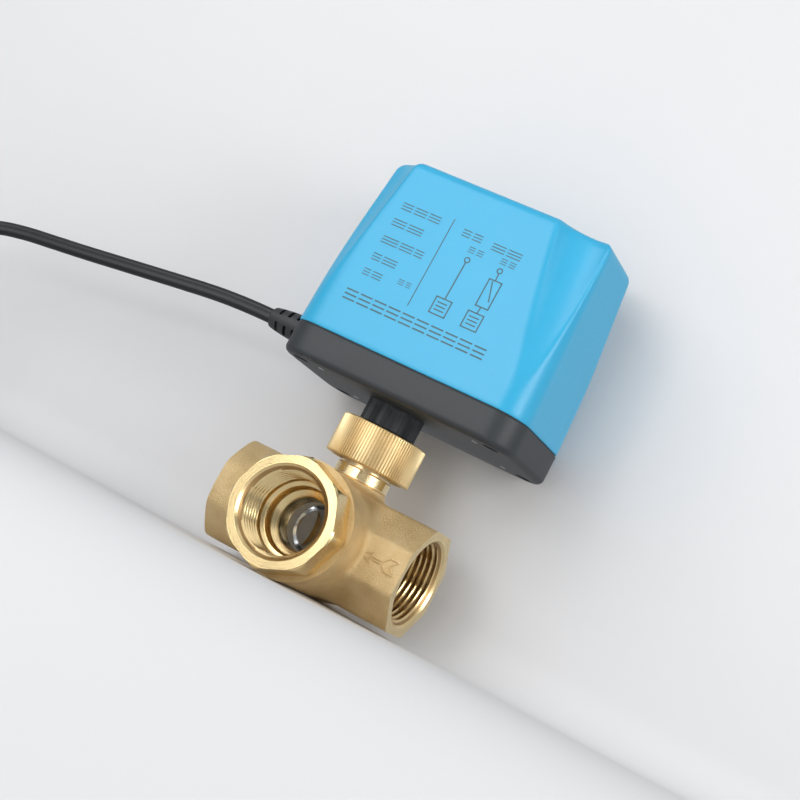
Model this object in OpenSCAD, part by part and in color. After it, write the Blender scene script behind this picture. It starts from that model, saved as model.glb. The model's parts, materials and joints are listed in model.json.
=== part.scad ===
// Motorised three-way ball valve for heating circuits, in millimetres.
// X runs along the pipe, +Z up the stem, and the front port looks along -Y.
// The origin is the centre of the ball.

/* [Valve] */
// Distance across the flats of the octagonal ends
octagon_af = 41; // [40:0.5:43]
// Ball centre to the face of the left port
left_reach = 43.5; // [43:0.5:50]
// Ball centre to the face of the right port
right_reach = 40; // [40:0.5:50]
// Ball centre to the face of the front port
front_reach = 49.5; // [49:0.5:54]
// Radius of the one inch pipe thread's wall
thread_r = 16.62; // [16.5:0.01:16.7]
// Depth of the thread in each port
thread_depth = 16; // [14:0.5:17]
// Radius of the bore through the ball and the seats
bore_r = 10; // [8:0.1:10]
// Radius of the ball
ball_r = 16; // [15.9:0.1:16.2]
// Radius of the round boss that the front port screws into
boss_r = 22.5; // [22:0.1:24]

/* [Union nut] */
// Radius over the knurl
nut_r = 17.3; // [17:0.1:18]
// Height of the nut
nut_h = 15.8; // [15.6:0.1:16]
// Ridges round the knurl
nut_ridges = 90; // [60:1:96]

/* [Actuator] */
// Stem axis to the left side of the housing
case_left = 43.2; // [42:0.1:46]
// Stem axis to the right side of the housing
case_right = 57.3; // [55:0.1:60]
// Depth of the housing, front to back
case_depth = 64; // [63:0.5:68]
// Radius of the housing's upright corners
corner_r = 12; // [10:0.5:12]
// Underside of the housing above the pipe axis
base_z = 54.5; // [54.5:0.1:56]
// Height of the black base's sides
base_h = 12.8; // [12.8:0.1:13]
// Height of the blue cover
cover_h = 73.4; // [73:0.1:78]
// Wall of the base and the cover
wall = 2.3; // [2:0.1:2.5]
// How far the cover's sides lean in towards the top
cover_lean = 3; // [2:0.1:3.2]

/* [Gear train] */
// Module of the output pair
coarse_module = 0.8; // [0.8:0.1:0.8]
// Module of the motor pair
fine_module = 0.6; // [0.6:0.1:0.6]
// Teeth of the output gear
output_teeth = 60; // [60:1:60]
// Teeth of the small gear that drives it
idler_pinion_teeth = 12; // [12:1:12]
// Teeth of the large gear that the motor drives
idler_wheel_teeth = 40; // [40:1:40]
// Teeth of the motor's pinion
motor_teeth = 10; // [10:1:10]

/* [Lead] */
// Width of the supply lead
lead_d = 6; // [5.8:0.1:6]
// Radius of the coil at the middle of its turns
coil_r = 33; // [31:0.5:33]

/* [Hidden] */
$fn = 48;

// Running clearance between a shaft and its hole
run_gap = 0.05;
// Gap between two pieces that only pass each other
pass_gap = 0.3;

// Valve: octagon corners, ball chamber and front boss
octagon_r = octagon_af / 2 / cos(22.5);
chamber_r = ball_r + 0.4;
seat_r = bore_r + 3.6;
seat_face = 11.2;
seat_back = 18.5;
boss_front = 37;
boss_back = 21;
boss_lip = 0.4;
lip_w = 1.4;
chest_r = 14.5;
chest_z = 15;
adapter_shank_r = 19.5;
seal_z = 18.4;
adapter_nose = 14;

// Stem, bonnet and neck heights above the pipe axis
stem_r = 4.5;
collar_r = 6.5;
neck_r = 11.2;
neck_top = 23.5;
collar_z = 16.5;
collar_h = 1.9;
washer_h = 0.8;
bonnet_z = 19.3;
bonnet_top = 38.5;
bonnet_thread_r = 13.45;
bonnet_thread_z = 31.4;
bonnet_r = 10;
spigot_r = 8;
flange_h = 4.7;
notch_w = 3.2;
stem_top = 45.5;
tang_w = 6.4;
seal_heights = [24.5, 29.5];
nut_z = 29.5;

// Actuator heights above the pipe axis
floor_t = 2.5;
case_floor = base_z + floor_t;
split_z = base_z + base_h;
seam = 0.4;
cover_z = split_z + seam / 2;
cover_top = cover_z + cover_h;
half_depth = case_depth / 2;
neck_z = bonnet_top + pass_gap;
spout_r = 12.1;
spout_bore = 8;
plate_z = 60;
plate_t = 1.5;
output_z = 64;
output_h = 5;
cam_z = [70.5, 76];
cam_h = 4;
cam_r = 6.4;
lobe_r = 8.4;
idler_z = 70.6;
idler_h = 4;
spring_z = 81.6;
upper_z = 90;
motor_z = upper_z + plate_t;
motor_h = 20;
motor_r = 25;
board_z = 117;
board_at = [[-20.5, -19.5], [-20.5, 19.5], [34.5, -19.5], [34.5, 19.5]];
shaft_r = 4;
shaft_foot = 56;
clip_z = upper_z - 1;

// Gear centres, in line along X from the output shaft
idler_x = coarse_module * (output_teeth + idler_pinion_teeth) / 2;
motor_x = idler_x - fine_module * (idler_wheel_teeth + motor_teeth) / 2;

// Gear plates and the posts that hold them
plate_left = 33;
plate_right = 47;
plate_half = 25.5;
post_at = [[-27, -20], [-27, 20], [41, -20], [41, 20]];
post_r = 3;

// Cover screws in the four corners, and the scoops above them
screw_inset = 8.5;
screw_boss_r = 4.2;
screw_at = [for (x = [screw_inset - case_left, case_right - screw_inset], y = [-1, 1])
    [x, y * (half_depth - screw_inset)]];
scoop_z = 84;
// Of each scoop: direction, depth at scoop_z, backward lean, sideways lean, radius, offset
front_scoop = [69.6, 4.2, 11.2, 4.8, 14, 6.15];
left_scoop = [45, 5.2, 9.3, 0, 34, 0];
back_scoop = [45, 5.4, 12, 0, 34, 0];

// End switches: the pivot of each lever and the face that the lever presses
switch_x = -13.6;
pivot = [-11.6, -8];
switch_z = [69.4, 75];
switch_size = [10, 22, 5.4];
switch_screw_at = [for (y = [-7, 7]) [switch_x - switch_size.x + 4, y]];

// Supply lead: gland, route to the coil, and the coil
floor_z = -boss_r - boss_lip;
gland_z = 67;
gland_end = -66;
tie_t = 0.8;
coil_at = [-192, -60];
coil_h = 2 * lead_d;
tail_r = coil_r + 1.5 * lead_d;
tail_l = 24;
core_gap = 1.4;
lead_route = [
    [-66, 0, 67], [-78, 0, 66.8], [-92, 0, 66], [-110, 0, 64], [-126, 0, 62], [-142, 0, 60],
    [-158, 0, 58], [-174, 0, 56.2], [-189, 0, 54.4], [-202, -1, 51.4], [-212.5, -4, 45.5],
    [-220, -9, 37], [-224.5, -15, 27.5], [-227, -20.5, 17.5], [-228, -25, 7], [-228, -30, -3],
    [-228, -38, -12.4]];

// Places its children with their Z axis along X, from x onwards
module along_x(x) {
    translate([x, 0, 0]) rotate([0, 90, 0]) children();
}

// Places its children with their Z axis along -Y, from y = -d onwards
module along_front(d) {
    translate([0, -d, 0]) rotate([90, 0, 0]) children();
}

module ring(r_in, r_out, h) {
    difference() {
        cylinder(r = r_out, h = h);
        translate([0, 0, -1]) cylinder(r = r_in, h = h + 2);
    }
}

// The housing's outline with its round corners, moved outwards by "grow"
module case_outline(grow = 0) {
    r = corner_r + grow;
    low = [-case_left - grow, -half_depth - grow];
    high = [case_right + grow, half_depth + grow];
    translate([low.x + r, low.y]) square([high.x - low.x - 2 * r, high.y - low.y]);
    translate([low.x, low.y + r]) square([high.x - low.x, high.y - low.y - 2 * r]);
    for (x = [low.x + r, high.x - r], y = [low.y + r, high.y - r]) {
        translate([x, y]) circle(r = r);
    }
}

// Involute outline of a gear: half of the tooth's angle at radius r
function involute(a) = tan(a) * 180 / PI - a;
function half_tooth(m, z, r) =
    90 / z - 0.07 * m / (m * z / 2) * 180 / PI + involute(20)
    - involute(acos(min(1, m * z / 2 * cos(20) / r)));

module gear(m, z, h, bore, turn = 0) {
    pitch_r = m * z / 2;
    root_r = pitch_r - 1.2 * m;
    base_r = pitch_r * cos(20);
    steps = [for (i = [0:3]) max(base_r, root_r + 0.2 * m)
        + i / 3 * (pitch_r + 0.85 * m - max(base_r, root_r + 0.2 * m))];
    side = [for (r = steps) [r, half_tooth(m, z, r)]];
    half = concat([[root_r, side[0][1]]], side);
    tooth = concat([for (p = half) [p[0], -p[1]]], [for (i = [4:-1:0]) half[i]]);
    linear_extrude(h) difference() {
        polygon([for (k = [0:z - 1], p = tooth)
            p[0] * [cos(p[1] + turn + k * 360 / z), sin(p[1] + turn + k * 360 / z)]]);
        circle(r = bore);
    }
}

// A closed tube of even radius swept along a route that never points along "across"
function unit(v) = v / norm(v);
function heading(path, i) = unit(path[min(i + 1, len(path) - 1)] - path[max(i - 1, 0)]);

module swept_tube(path, r, sides, across = [0, 1, 0]) {
    last = len(path) - 1;
    rings = [for (i = [0:last])
        let (t = heading(path, i), u = unit(cross(t, across)), v = cross(t, u))
        for (k = [0:sides - 1]) path[i] + r * (cos(k * 360 / sides) * u + sin(k * 360 / sides) * v)];
    walls = [for (i = [0:last - 1], k = [0:sides - 1])
        let (a = i * sides + k, b = i * sides + (k + 1) % sides)
        each [[a, b, b + sides], [a, b + sides, a + sides]]];
    start = [for (k = [1:sides - 2]) [0, k + 1, k]];
    end = [for (k = [1:sides - 2]) [last * sides, last * sides + k, last * sides + k + 1]];
    polyhedron(rings, concat(walls, start, end), convexity = 6);
}

module pipe_bore(reach) {
    translate([0, 0, reach - thread_depth]) cylinder(r = thread_r, h = thread_depth + 1);
    cylinder(r = bore_r, h = reach);
}

module valve_body() {
    color([0.78, 0.66, 0.44]) difference() {
        union() {
            along_x(-left_reach) rotate(22.5)
                cylinder(r = octagon_r, h = left_reach + right_reach, $fn = 8);
            along_front(-boss_back) cylinder(r = boss_r, h = boss_front + boss_back);
            along_front(boss_front - lip_w) cylinder(r = boss_r + boss_lip, h = lip_w);
            cylinder(r = neck_r, h = neck_top);
            translate([0, 0, chest_z]) cylinder(r1 = chest_r, r2 = neck_r, h = 7);
        }
        along_x(0) pipe_bore(right_reach);
        mirror([1, 0, 0]) along_x(0) pipe_bore(left_reach);
        along_x(-seat_back) cylinder(r = seat_r, h = 2 * seat_back);
        along_front(-17) cylinder(r = chamber_r, h = 17 + seal_z);
        along_front(seal_z) cylinder(r = adapter_shank_r, h = boss_front);
        cylinder(r = collar_r + 0.4, h = bonnet_z);
        translate([0, 0, bonnet_z]) cylinder(r = spigot_r, h = 10);
    }
}

// The front port: an octagon on its corner, screwed into the boss
module port_adapter() {
    head = front_reach - boss_front;
    color([0.82, 0.7, 0.47]) difference() {
        union() {
            intersection() {
                along_front(boss_front) cylinder(r = octagon_r, h = head, $fn = 8);
                along_front(boss_front) rotate_extrude() polygon([
                    [0, 0], [octagon_r - 0.5, 0], [octagon_r, 0.8], [octagon_r, head - 1.2],
                    [octagon_r - 1, head], [0, head]]);
            }
            along_front(seal_z + 1.6) cylinder(r = adapter_shank_r, h = boss_front - seal_z - 1.6);
            along_front(adapter_nose) cylinder(r = chamber_r, h = 10);
        }
        along_front(0) pipe_bore(front_reach);
        along_front(adapter_nose - 1) cylinder(r = seat_r, h = seat_back - adapter_nose + 1);
        along_front(front_reach - thread_depth - 6) cylinder(r = 13, h = 7);
    }
}

module adapter_seal() {
    color("white") along_front(seal_z) ring(chamber_r, adapter_shank_r, 1.6);
}

// A ring that the ball turns against. Its cone leaves room for the next seat round the corner
module seat() {
    difference() {
        rotate_extrude() polygon([[bore_r + 0.2, seat_face], [seat_face - 0.1, seat_face],
            [seat_r, seat_r + 0.1], [seat_r, seat_back], [bore_r + 0.2, seat_back]]);
        sphere(r = ball_r + run_gap, $fn = 96);
    }
}

module seat_left() {
    color("white") mirror([1, 0, 0]) along_x(0) seat();
}

module seat_right() {
    color("white") along_x(0) seat();
}

module seat_front() {
    color("white") along_front(0) seat();
}

// Screwed into the neck, it holds the stem down and carries the union nut's thread
module valve_bonnet() {
    color([0.85, 0.74, 0.5]) difference() {
        union() {
            translate([0, 0, bonnet_z]) cylinder(r = spigot_r, h = neck_top - bonnet_z);
            translate([0, 0, neck_top]) cylinder(r = neck_r, h = flange_h);
            translate([0, 0, neck_top]) cylinder(r = bonnet_r, h = bonnet_top - neck_top);
            translate([0, 0, bonnet_thread_z])
                cylinder(r = bonnet_thread_r, h = bonnet_top - bonnet_thread_z);
        }
        cylinder(r = stem_r + run_gap, h = bonnet_top + 1);
        for (k = [0:7]) {
            rotate(k * 45 + 22.5) translate([neck_r - 1.1, -notch_w / 2, neck_top + 0.8])
                cube([3, notch_w, flange_h]);
        }
    }
}

// Chromed ball with an angled way through it, and a slot for the stem
module ball() {
    color("silver") difference() {
        sphere(r = ball_r, $fn = 96);
        along_front(0) cylinder(r = bore_r, h = ball_r + 1);
        mirror([1, 0, 0]) along_x(0) cylinder(r = bore_r, h = ball_r + 1);
        sphere(r = bore_r);
        translate([-ball_r, -2.55, 12.2]) cube([2 * ball_r, 5.1, 5]);
    }
}

module stem() {
    color([0.72, 0.62, 0.42]) difference() {
        union() {
            translate([-5.3, -2.5, 12.4]) cube([10.6, 5, collar_z - 12.4]);
            translate([0, 0, collar_z]) cylinder(r = collar_r, h = collar_h);
            translate([0, 0, collar_z]) cylinder(r = stem_r, h = bonnet_top + pass_gap - collar_z);
            intersection() {
                translate([0, 0, bonnet_top]) cylinder(r = stem_r, h = stem_top - bonnet_top);
                translate([-tang_w / 2, -tang_w / 2, bonnet_top]) cube([tang_w, tang_w, 10]);
            }
        }
        for (z = seal_heights) translate([0, 0, z]) ring(3.1, stem_r + 1, 1.5);
    }
}

module stem_seals() {
    color([0.1, 0.1, 0.1]) for (z = seal_heights) {
        translate([0, 0, z + 0.75]) rotate_extrude() translate([3.8, 0]) circle(r = 0.7);
    }
}

module thrust_washer() {
    color("white") translate([0, 0, collar_z + collar_h]) ring(stem_r, collar_r, washer_h);
}

// Knurled nut that pulls the actuator's neck down onto the bonnet
module union_nut() {
    step = 360 / nut_ridges;
    color([0.85, 0.72, 0.47]) translate([0, 0, nut_z]) difference() {
        intersection() {
            linear_extrude(nut_h) polygon([for (k = [0:nut_ridges - 1], s = [0, 1])
                (nut_r - 0.35 * s) * [cos((k + s / 2) * step), sin((k + s / 2) * step)]]);
            rotate_extrude() polygon([
                [0, 0], [nut_r - 0.6, 0], [nut_r + 0.1, 0.7], [nut_r + 0.1, nut_h - 0.9],
                [nut_r - 0.8, nut_h], [0, nut_h]]);
        }
        translate([0, 0, -1]) cylinder(r = bonnet_thread_r + run_gap, h = 13.3);
        translate([0, 0, -1]) cylinder(r = 14.6, h = 2);
        translate([0, 0, 9.3]) cylinder(r = 14.3, h = 3.4);
        cylinder(r = spout_r + 0.3, h = nut_h + 1);
    }
}

// Black lower half of the housing, with the fluted neck that the nut holds
module base_housing() {
    color([0.2, 0.21, 0.22]) difference() {
        union() {
            translate([0, 0, base_z]) linear_extrude(base_h - seam / 2) case_outline();
            translate([0, 0, neck_z]) cylinder(r = spout_r, h = nut_z + nut_h + 0.6 - neck_z);
            translate([0, 0, neck_z]) cylinder(r = 10.9, h = base_z + 1 - neck_z);
            for (k = [0:7]) {
                rotate(k * 45) translate([9.6, 0, nut_z + nut_h])
                    cylinder(r = 2.5, h = base_z + 1 - nut_z - nut_h);
            }
        }
        difference() {
            translate([0, 0, case_floor]) linear_extrude(base_h) case_outline(-wall);
            for (p = screw_at) translate([p.x, p.y, base_z]) cylinder(r = screw_boss_r, h = base_h);
            for (p = post_at) translate([p.x, p.y, base_z]) cylinder(r = 4, h = plate_z - base_z);
            translate([0, 0, base_z]) cylinder(r = 10.5, h = plate_z - 1 - base_z);
        }
        translate([0, 0, neck_z - 1]) cylinder(r = spout_bore, h = 40);
        translate([0, 0, 40.2]) ring(11.2, 14, 1.6);
        for (p = screw_at) translate([p.x, p.y, base_z - 1]) {
            cylinder(r = 1.7, h = base_h + 2);
            cylinder(r = 3.2, h = 4);
        }
        for (p = post_at) translate([p.x, p.y, base_z - 1]) cylinder(r = 1.6, h = 9);
        along_gland(-case_left - 1) cylinder(r = 4.4, h = wall + 2);
        translate([-31, -half_depth - 1, base_z - 1]) cube([4, 2.2, 3]);
    }
}

// Places its children on the lead's axis where it leaves the housing
module along_gland(x) {
    translate([x, 0, gland_z]) rotate([0, 90, 0]) children();
}

module nut_retaining_ring() {
    color("silver") translate([0, 0, 40.3]) difference() {
        ring(11.2, 13.2, 1.4);
        translate([0, -2, -1]) cube([20, 4, 4]);
    }
}

// The cover's outside or, shrunk, its inside
module cover_block(shrink) {
    lean = cover_lean / cover_h;
    tiers = [[0, 0], [cover_h - 5, 0], [cover_h - 2.6, 0.9], [cover_h - 0.8, 2.7], [cover_h, 5]];
    hull() for (t = tiers) {
        z = t[0] * (cover_h - shrink) / cover_h;
        translate([0, 0, cover_z + z]) linear_extrude(0.01)
            case_outline(-shrink - t[1] - lean * t[0], $fn = 40);
    }
}

// Hollows that run up the four corners and widen towards the top. The one at the front on the
// right faces the front, and the others face straight out of their corners
module corner_scoops(grow) {
    for (x = [-case_left, case_right], y = [-1, 1]) {
        own = x > 0 && y < 0 ? front_scoop : x < 0 && y < 0 ? left_scoop : back_scoop;
        translate([x, y * half_depth, scoop_z]) scale([x > 0 ? -1 : 1, -y, 1])
            rotate(own[0]) rotate([own[3], own[2], 0]) translate([own[1] + grow - own[4], -own[5], -12])
            cylinder(r = own[4], h = 90, $fn = 60);
    }
}

module cover() {
    color([0.36, 0.73, 0.87]) difference() {
        cover_block(0);
        corner_scoops(0);
        difference() {
            translate([0, 0, -0.1]) cover_block(wall);
            corner_scoops(wall);
            for (p = screw_at) {
                translate([p.x, p.y, cover_z - 1]) cylinder(r = screw_boss_r, h = 12);
                translate([p.x + (p.x < 0 ? -4 : 0), p.y + (p.y < 0 ? -4 : 0), cover_z - 1])
                    cube([4, 4, 12]);
            }
        }
        for (p = screw_at) translate([p.x, p.y, cover_z - 1]) cylinder(r = 1.5, h = 11);
        along_gland(-case_left - 1) cylinder(r = 4.4, h = wall + 2);
    }
}

module cover_gasket() {
    color([0.08, 0.08, 0.08]) translate([0, 0, split_z - seam / 2]) linear_extrude(seam) difference() {
        case_outline(-0.5);
        case_outline(-wall);
        translate([-case_left - 1, -4.4]) square([4, 8.8]);
    }
}

module cover_screws() {
    color("silver") for (p = screw_at) translate([p.x, p.y, base_z + 1.2]) {
        difference() {
            cylinder(r = 2.9, h = 1.8);
            translate([-0.4, -2, -0.1]) cube([0.8, 4, 0.8]);
            translate([-2, -0.4, -0.1]) cube([4, 0.8, 0.8]);
        }
        cylinder(r = 1.5, h = 19);
    }
}

// Sheet steel plate, cut back at the corners to pass the cover screws' bosses
module gear_plate(z) {
    difference() {
        translate([-plate_left, -plate_half, z])
            cube([plate_left + plate_right, 2 * plate_half, plate_t]);
        for (p = screw_at) translate([p.x, p.y, z - 1]) cylinder(r = screw_boss_r + 0.8, h = plate_t + 2);
        for (p = post_at) translate([p.x, p.y, z - 1]) cylinder(r = 1.6, h = plate_t + 2);
    }
}

module lower_plate() {
    color("silver") difference() {
        gear_plate(plate_z);
        translate([0, 0, plate_z - 1]) cylinder(r = 7, h = 4);
        translate([idler_x, 0, plate_z - 1]) cylinder(r = 1.5, h = 4);
    }
}

module upper_plate() {
    color("silver") difference() {
        gear_plate(upper_z);
        translate([0, 0, upper_z - 1]) cylinder(r = 6, h = 4);
        translate([motor_x, 0, upper_z - 1]) cylinder(r = 5, h = 4);
        translate([idler_x, 0, upper_z - 1]) cylinder(r = 1.5, h = 4);
        for (y = [-1, 1]) translate([motor_x, y * 21.5, upper_z - 1]) cylinder(r = 1.5, h = 4);
        for (p = switch_screw_at) translate([p.x, p.y, upper_z - 1]) cylinder(r = 1.1, h = 4);
    }
}

module plate_posts() {
    color([0.8, 0.7, 0.45]) for (p = post_at) translate([p.x, p.y, plate_z + plate_t]) {
        difference() {
            cylinder(r = post_r, h = upper_z - plate_z - plate_t, $fn = 6);
            translate([0, 0, -1]) cylinder(r = 1.25, h = 7);
            translate([0, 0, upper_z - plate_z - plate_t - 6]) cylinder(r = 1.25, h = 7);
        }
    }
}

// The screws below come up through the base's floor into the posts
module post_screws() {
    color("silver") for (p = post_at) translate([p.x, p.y, 0]) {
        translate([0, 0, base_z]) cylinder(r = 1.25, h = plate_z + plate_t + 5 - base_z);
        translate([0, 0, upper_z + plate_t - 5]) cylinder(r = 1.25, h = 6.6);
        translate([0, 0, upper_z + plate_t]) cylinder(r = 2.6, h = 1.6);
    }
}

module shaft_bushes() {
    color([0.75, 0.6, 0.35]) {
        translate([0, 0, plate_z]) ring(shaft_r + run_gap, 7, plate_t);
        translate([0, 0, plate_z + plate_t]) ring(shaft_r + run_gap, 8, 1);
        translate([0, 0, upper_z]) ring(shaft_r + run_gap, 6, plate_t);
    }
}

module idler_axle() {
    color("silver") translate([idler_x, 0, plate_z]) cylinder(r = 1.5, h = upper_z + plate_t - plate_z);
}

// Drawn steel can of the small synchronous motor
module motor_case() {
    color([0.75, 0.76, 0.78]) translate([motor_x, 0, motor_z]) difference() {
        union() {
            translate([0, 0, 1.2]) cylinder(r = motor_r, h = motor_h - 1.2);
            for (y = [-1, 1]) translate([0, y * 21.5, 1.2]) cylinder(r = 4, h = 1);
        }
        translate([0, 0, 0]) cylinder(r = motor_r - 1, h = motor_h - 1);
    }
}

module motor_base() {
    color([0.7, 0.71, 0.73]) translate([motor_x, 0, motor_z]) difference() {
        cylinder(r = motor_r, h = 1.2);
        translate([0, 0, -1]) cylinder(r = 1.5 + run_gap, h = 4);
        for (y = [-1, 1]) translate([0, y * 21.5, -1]) cylinder(r = 1.5, h = 4);
    }
}

module motor_coil() {
    color([0.72, 0.42, 0.2]) translate([motor_x, 0, motor_z + 3]) ring(12.5, motor_r - 1.2, motor_h - 6);
}

module motor_screws() {
    color("silver") for (y = [-1, 1]) translate([motor_x, y * 21.5, upper_z - 2.4]) {
        cylinder(r = 2.6, h = 2.4 - 0.01);
        cylinder(r = 1.5, h = 4.6);
    }
}

// Magnet drum on the motor's shaft
module motor_rotor() {
    color([0.3, 0.3, 0.32]) translate([motor_x, 0, motor_z + 3.4]) ring(1.5, 12, motor_h - 7);
}

module motor_pinion() {
    color([0.8, 0.68, 0.4]) translate([motor_x, 0, 0]) {
        translate([0, 0, idler_z - 0.4])
            gear(fine_module, motor_teeth, idler_h + 0.8, 0.5, 180 / motor_teeth);
        translate([0, 0, idler_z - 0.4]) cylinder(r = 1.5, h = motor_z + motor_h - 3 - idler_z);
    }
}

// Large and small gear in one piece, turning on the fixed axle
module idler_gear() {
    color([0.93, 0.93, 0.9]) translate([idler_x, 0, 0]) {
        translate([0, 0, output_z - 0.5]) gear(coarse_module, idler_pinion_teeth,
            idler_z - output_z + 0.5, 1.5 + run_gap, 180 / idler_pinion_teeth);
        translate([0, 0, idler_z]) gear(fine_module, idler_wheel_teeth, idler_h, 1.5 + run_gap);
    }
}

module output_shaft() {
    color("silver") difference() {
        translate([0, 0, shaft_foot]) cylinder(r = shaft_r, h = upper_z + 1.1 - shaft_foot);
        translate([0, 0, clip_z - 0.1]) ring(3, 5, 0.8);
    }
}

module output_gear() {
    color([0.93, 0.93, 0.9]) {
        translate([0, 0, output_z]) gear(coarse_module, output_teeth, output_h, shaft_r);
        translate([0, 0, output_z - 1.2]) ring(shaft_r, 7.5, 1.2);
        translate([0, 0, output_z + output_h]) ring(shaft_r, 7, cam_z[0] - output_z - output_h);
    }
}

// A disc with one lobe, turned so that its lobe nears the lever at one end of the travel
module cam(z, turn) {
    translate([0, 0, z]) rotate(turn) difference() {
        union() {
            cylinder(r = cam_r, h = cam_h);
            intersection() {
                cylinder(r = lobe_r, h = cam_h);
                translate([0, -3.5, 0]) cube([10, 7, cam_h]);
            }
        }
        translate([0, 0, -1]) cylinder(r = shaft_r, h = cam_h + 2);
    }
}

module cam_lower() {
    color([0.9, 0.5, 0.15]) cam(cam_z[0], 180);
}

module cam_upper() {
    color([0.2, 0.45, 0.8]) cam(cam_z[1], 90);
}

module shaft_clip() {
    color("silver") translate([0, 0, clip_z]) difference() {
        ring(3, 6, 0.6);
        translate([0, -1.6, -1]) cube([10, 3.2, 3]);
    }
}

// Sleeve that joins the output shaft to the stem's square top
module drive_coupler() {
    color([0.25, 0.25, 0.27]) difference() {
        translate([0, 0, bonnet_top + 2 * pass_gap]) cylinder(r = spout_bore - 0.1, h = 19.6);
        translate([-tang_w / 2 - run_gap, -tang_w / 2 - run_gap, bonnet_top])
            cube([tang_w + 2 * run_gap, tang_w + 2 * run_gap, stem_top + 0.5 - bonnet_top]);
        translate([0, 0, shaft_foot]) cylinder(r = shaft_r, h = 10);
    }
}

// Coil spring round the output shaft that turns the valve back, with a leg at each end
module return_spring() {
    turns = 4.25;
    steps = 16;
    r = 7.4;
    top = spring_z + 1.7 * turns;
    coil = [for (i = [0:turns * steps])
        [r * cos(i * 360 / steps), r * sin(i * 360 / steps), spring_z + i * 1.7 / steps]];
    color([0.6, 0.62, 0.65])
        swept_tube(concat([[r, -7, spring_z], [r, -2, spring_z]], coil, [[-2, r, top], [-9, r, top]]),
            0.6, 8, [0, 0, 1]);
}

module end_switch(z) {
    color([0.12, 0.12, 0.13]) translate([switch_x - switch_size.x, -switch_size.y / 2, z]) difference() {
        union() {
            cube(switch_size);
            translate([switch_size.x, 9, switch_size.z / 2]) rotate([0, 90, 0]) cylinder(r = 0.9, h = 0.6);
        }
        for (y = [-7, 7])
            translate([4, switch_size.y / 2 + y, -1]) cylinder(r = 1.1, h = switch_size.z + 2);
    }
}

module switch_lower() {
    end_switch(switch_z[0]);
}

module switch_upper() {
    end_switch(switch_z[1]);
}

// Spring leaf from its pivot to a bent tip beside the cam
module lever(z) {
    color("silver") translate([0, 0, z + 0.8]) {
        translate([pivot.x, pivot.y, 0]) cylinder(r = 0.9, h = 3.8);
        translate([pivot.x - 0.2, pivot.y, 0]) cube([0.4, 14, 3.8]);
        translate([pivot.x + 1, pivot.y + 13, 0]) cylinder(r = 1.4, h = 3.8);
    }
}

module lever_lower() {
    lever(switch_z[0]);
}

module lever_upper() {
    lever(switch_z[1]);
}

// The switches hang from the upper plate: head on top, hexagon spacer, then both switches
module switch_screws() {
    low = switch_z[0] + 0.3;
    spacer_z = switch_z[1] + switch_size.z;
    color("silver") for (p = switch_screw_at) translate([p.x, p.y, 0]) {
        translate([0, 0, low]) cylinder(r = 1.1, h = upper_z + plate_t - low);
        translate([0, 0, spacer_z]) cylinder(r = 2.2, h = upper_z - spacer_z, $fn = 6);
        translate([0, 0, upper_z + plate_t]) cylinder(r = 2, h = 1.4);
    }
}

module control_board() {
    color([0.15, 0.4, 0.25]) difference() {
        translate([-26, -22, board_z]) cube([66, 44, 1.6]);
        for (p = board_at) translate([p.x, p.y, board_z - 1]) cylinder(r = 1.3, h = 4);
    }
}

module board_posts() {
    color([0.8, 0.7, 0.45]) for (p = board_at) translate([p.x, p.y, upper_z + plate_t]) {
        cylinder(r = 2.2, h = board_z - upper_z - plate_t, $fn = 6);
        translate([0, 0, board_z - upper_z - plate_t]) cylinder(r = 1.3, h = 2.2);
    }
}

module terminal_block() {
    color([0.2, 0.5, 0.3]) translate([-22, -12, board_z + 1.6]) difference() {
        cube([9, 24, 10]);
        for (y = [4, 12, 20]) {
            translate([-1, y - 2, 2]) cube([7, 4, 4]);
            translate([4.5, y, 6.5]) cylinder(r = 1.6, h = 5);
        }
    }
}

module capacitor() {
    color([0.75, 0.15, 0.12]) translate([8, -9, board_z + 1.6]) cube([22, 18, 11]);
}

// Wires from the motor, the switches and the gland to the terminals
module inner_leads() {
    wires = [
        [[-37.9, -2, 67], [-36.2, -2, 70], [-35.6, -4, 90], [-35, -6, 108], [-32, -8, 120],
            [-22.1, -8, 122.6]],
        [[-37.9, 2, 67], [-36.2, 2, 70], [-35.6, 1, 90], [-35, 0, 108], [-32, 0, 120], [-22.1, 0, 122.6]],
        [[-23.7, 6, 72], [-33, 8, 76], [-35, 9, 92], [-35, 9, 108], [-32, 8, 120], [-22.1, 8, 122.6]]];
    tints = [[0.45, 0.25, 0.12], [0.15, 0.3, 0.7], [0.75, 0.7, 0.2]];
    for (i = [0:2]) color(tints[i]) swept_tube(wires[i], 0.9, 8);
}

// Slotted sleeve that keeps the lead from bending sharply at the housing
module strain_relief() {
    color([0.1, 0.1, 0.1]) along_gland(0) difference() {
        union() {
            translate([0, 0, -case_left]) cylinder(r = 4.4, h = wall);
            translate([0, 0, -case_left - 2]) cylinder(r = 6.2, h = 2);
            translate([0, 0, gland_end]) cylinder(r1 = 4.2, r2 = 5.4, h = -gland_end - case_left - 2);
            translate([0, 0, -case_left + wall]) cylinder(r = 5.4, h = 2);
        }
        for (k = [0:3], s = [0, 1]) rotate(s * 180) translate([2.6, -3, gland_end + 3.4 + k * 4.2])
            cube([6, 6, 1.6]);
    }
}

module lead_cord() {
    color([0.06, 0.06, 0.06]) swept_tube(lead_route, lead_d / 2, 12);
}

// The wound part of the lead, as one ring of its outer shape
module lead_coil() {
    color([0.06, 0.06, 0.06]) translate([coil_at.x, coil_at.y, floor_z + tie_t]) rotate_extrude() {
        for (s = [-1, 1], t = [0.5, 1.5])
            translate([coil_r + s * lead_d / 2, t * lead_d]) circle(r = lead_d / 2);
        translate([coil_r - lead_d / 2, 0]) square([lead_d, coil_h]);
        translate([coil_r - lead_d, lead_d / 2]) square([2 * lead_d, lead_d]);
    }
}

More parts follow.
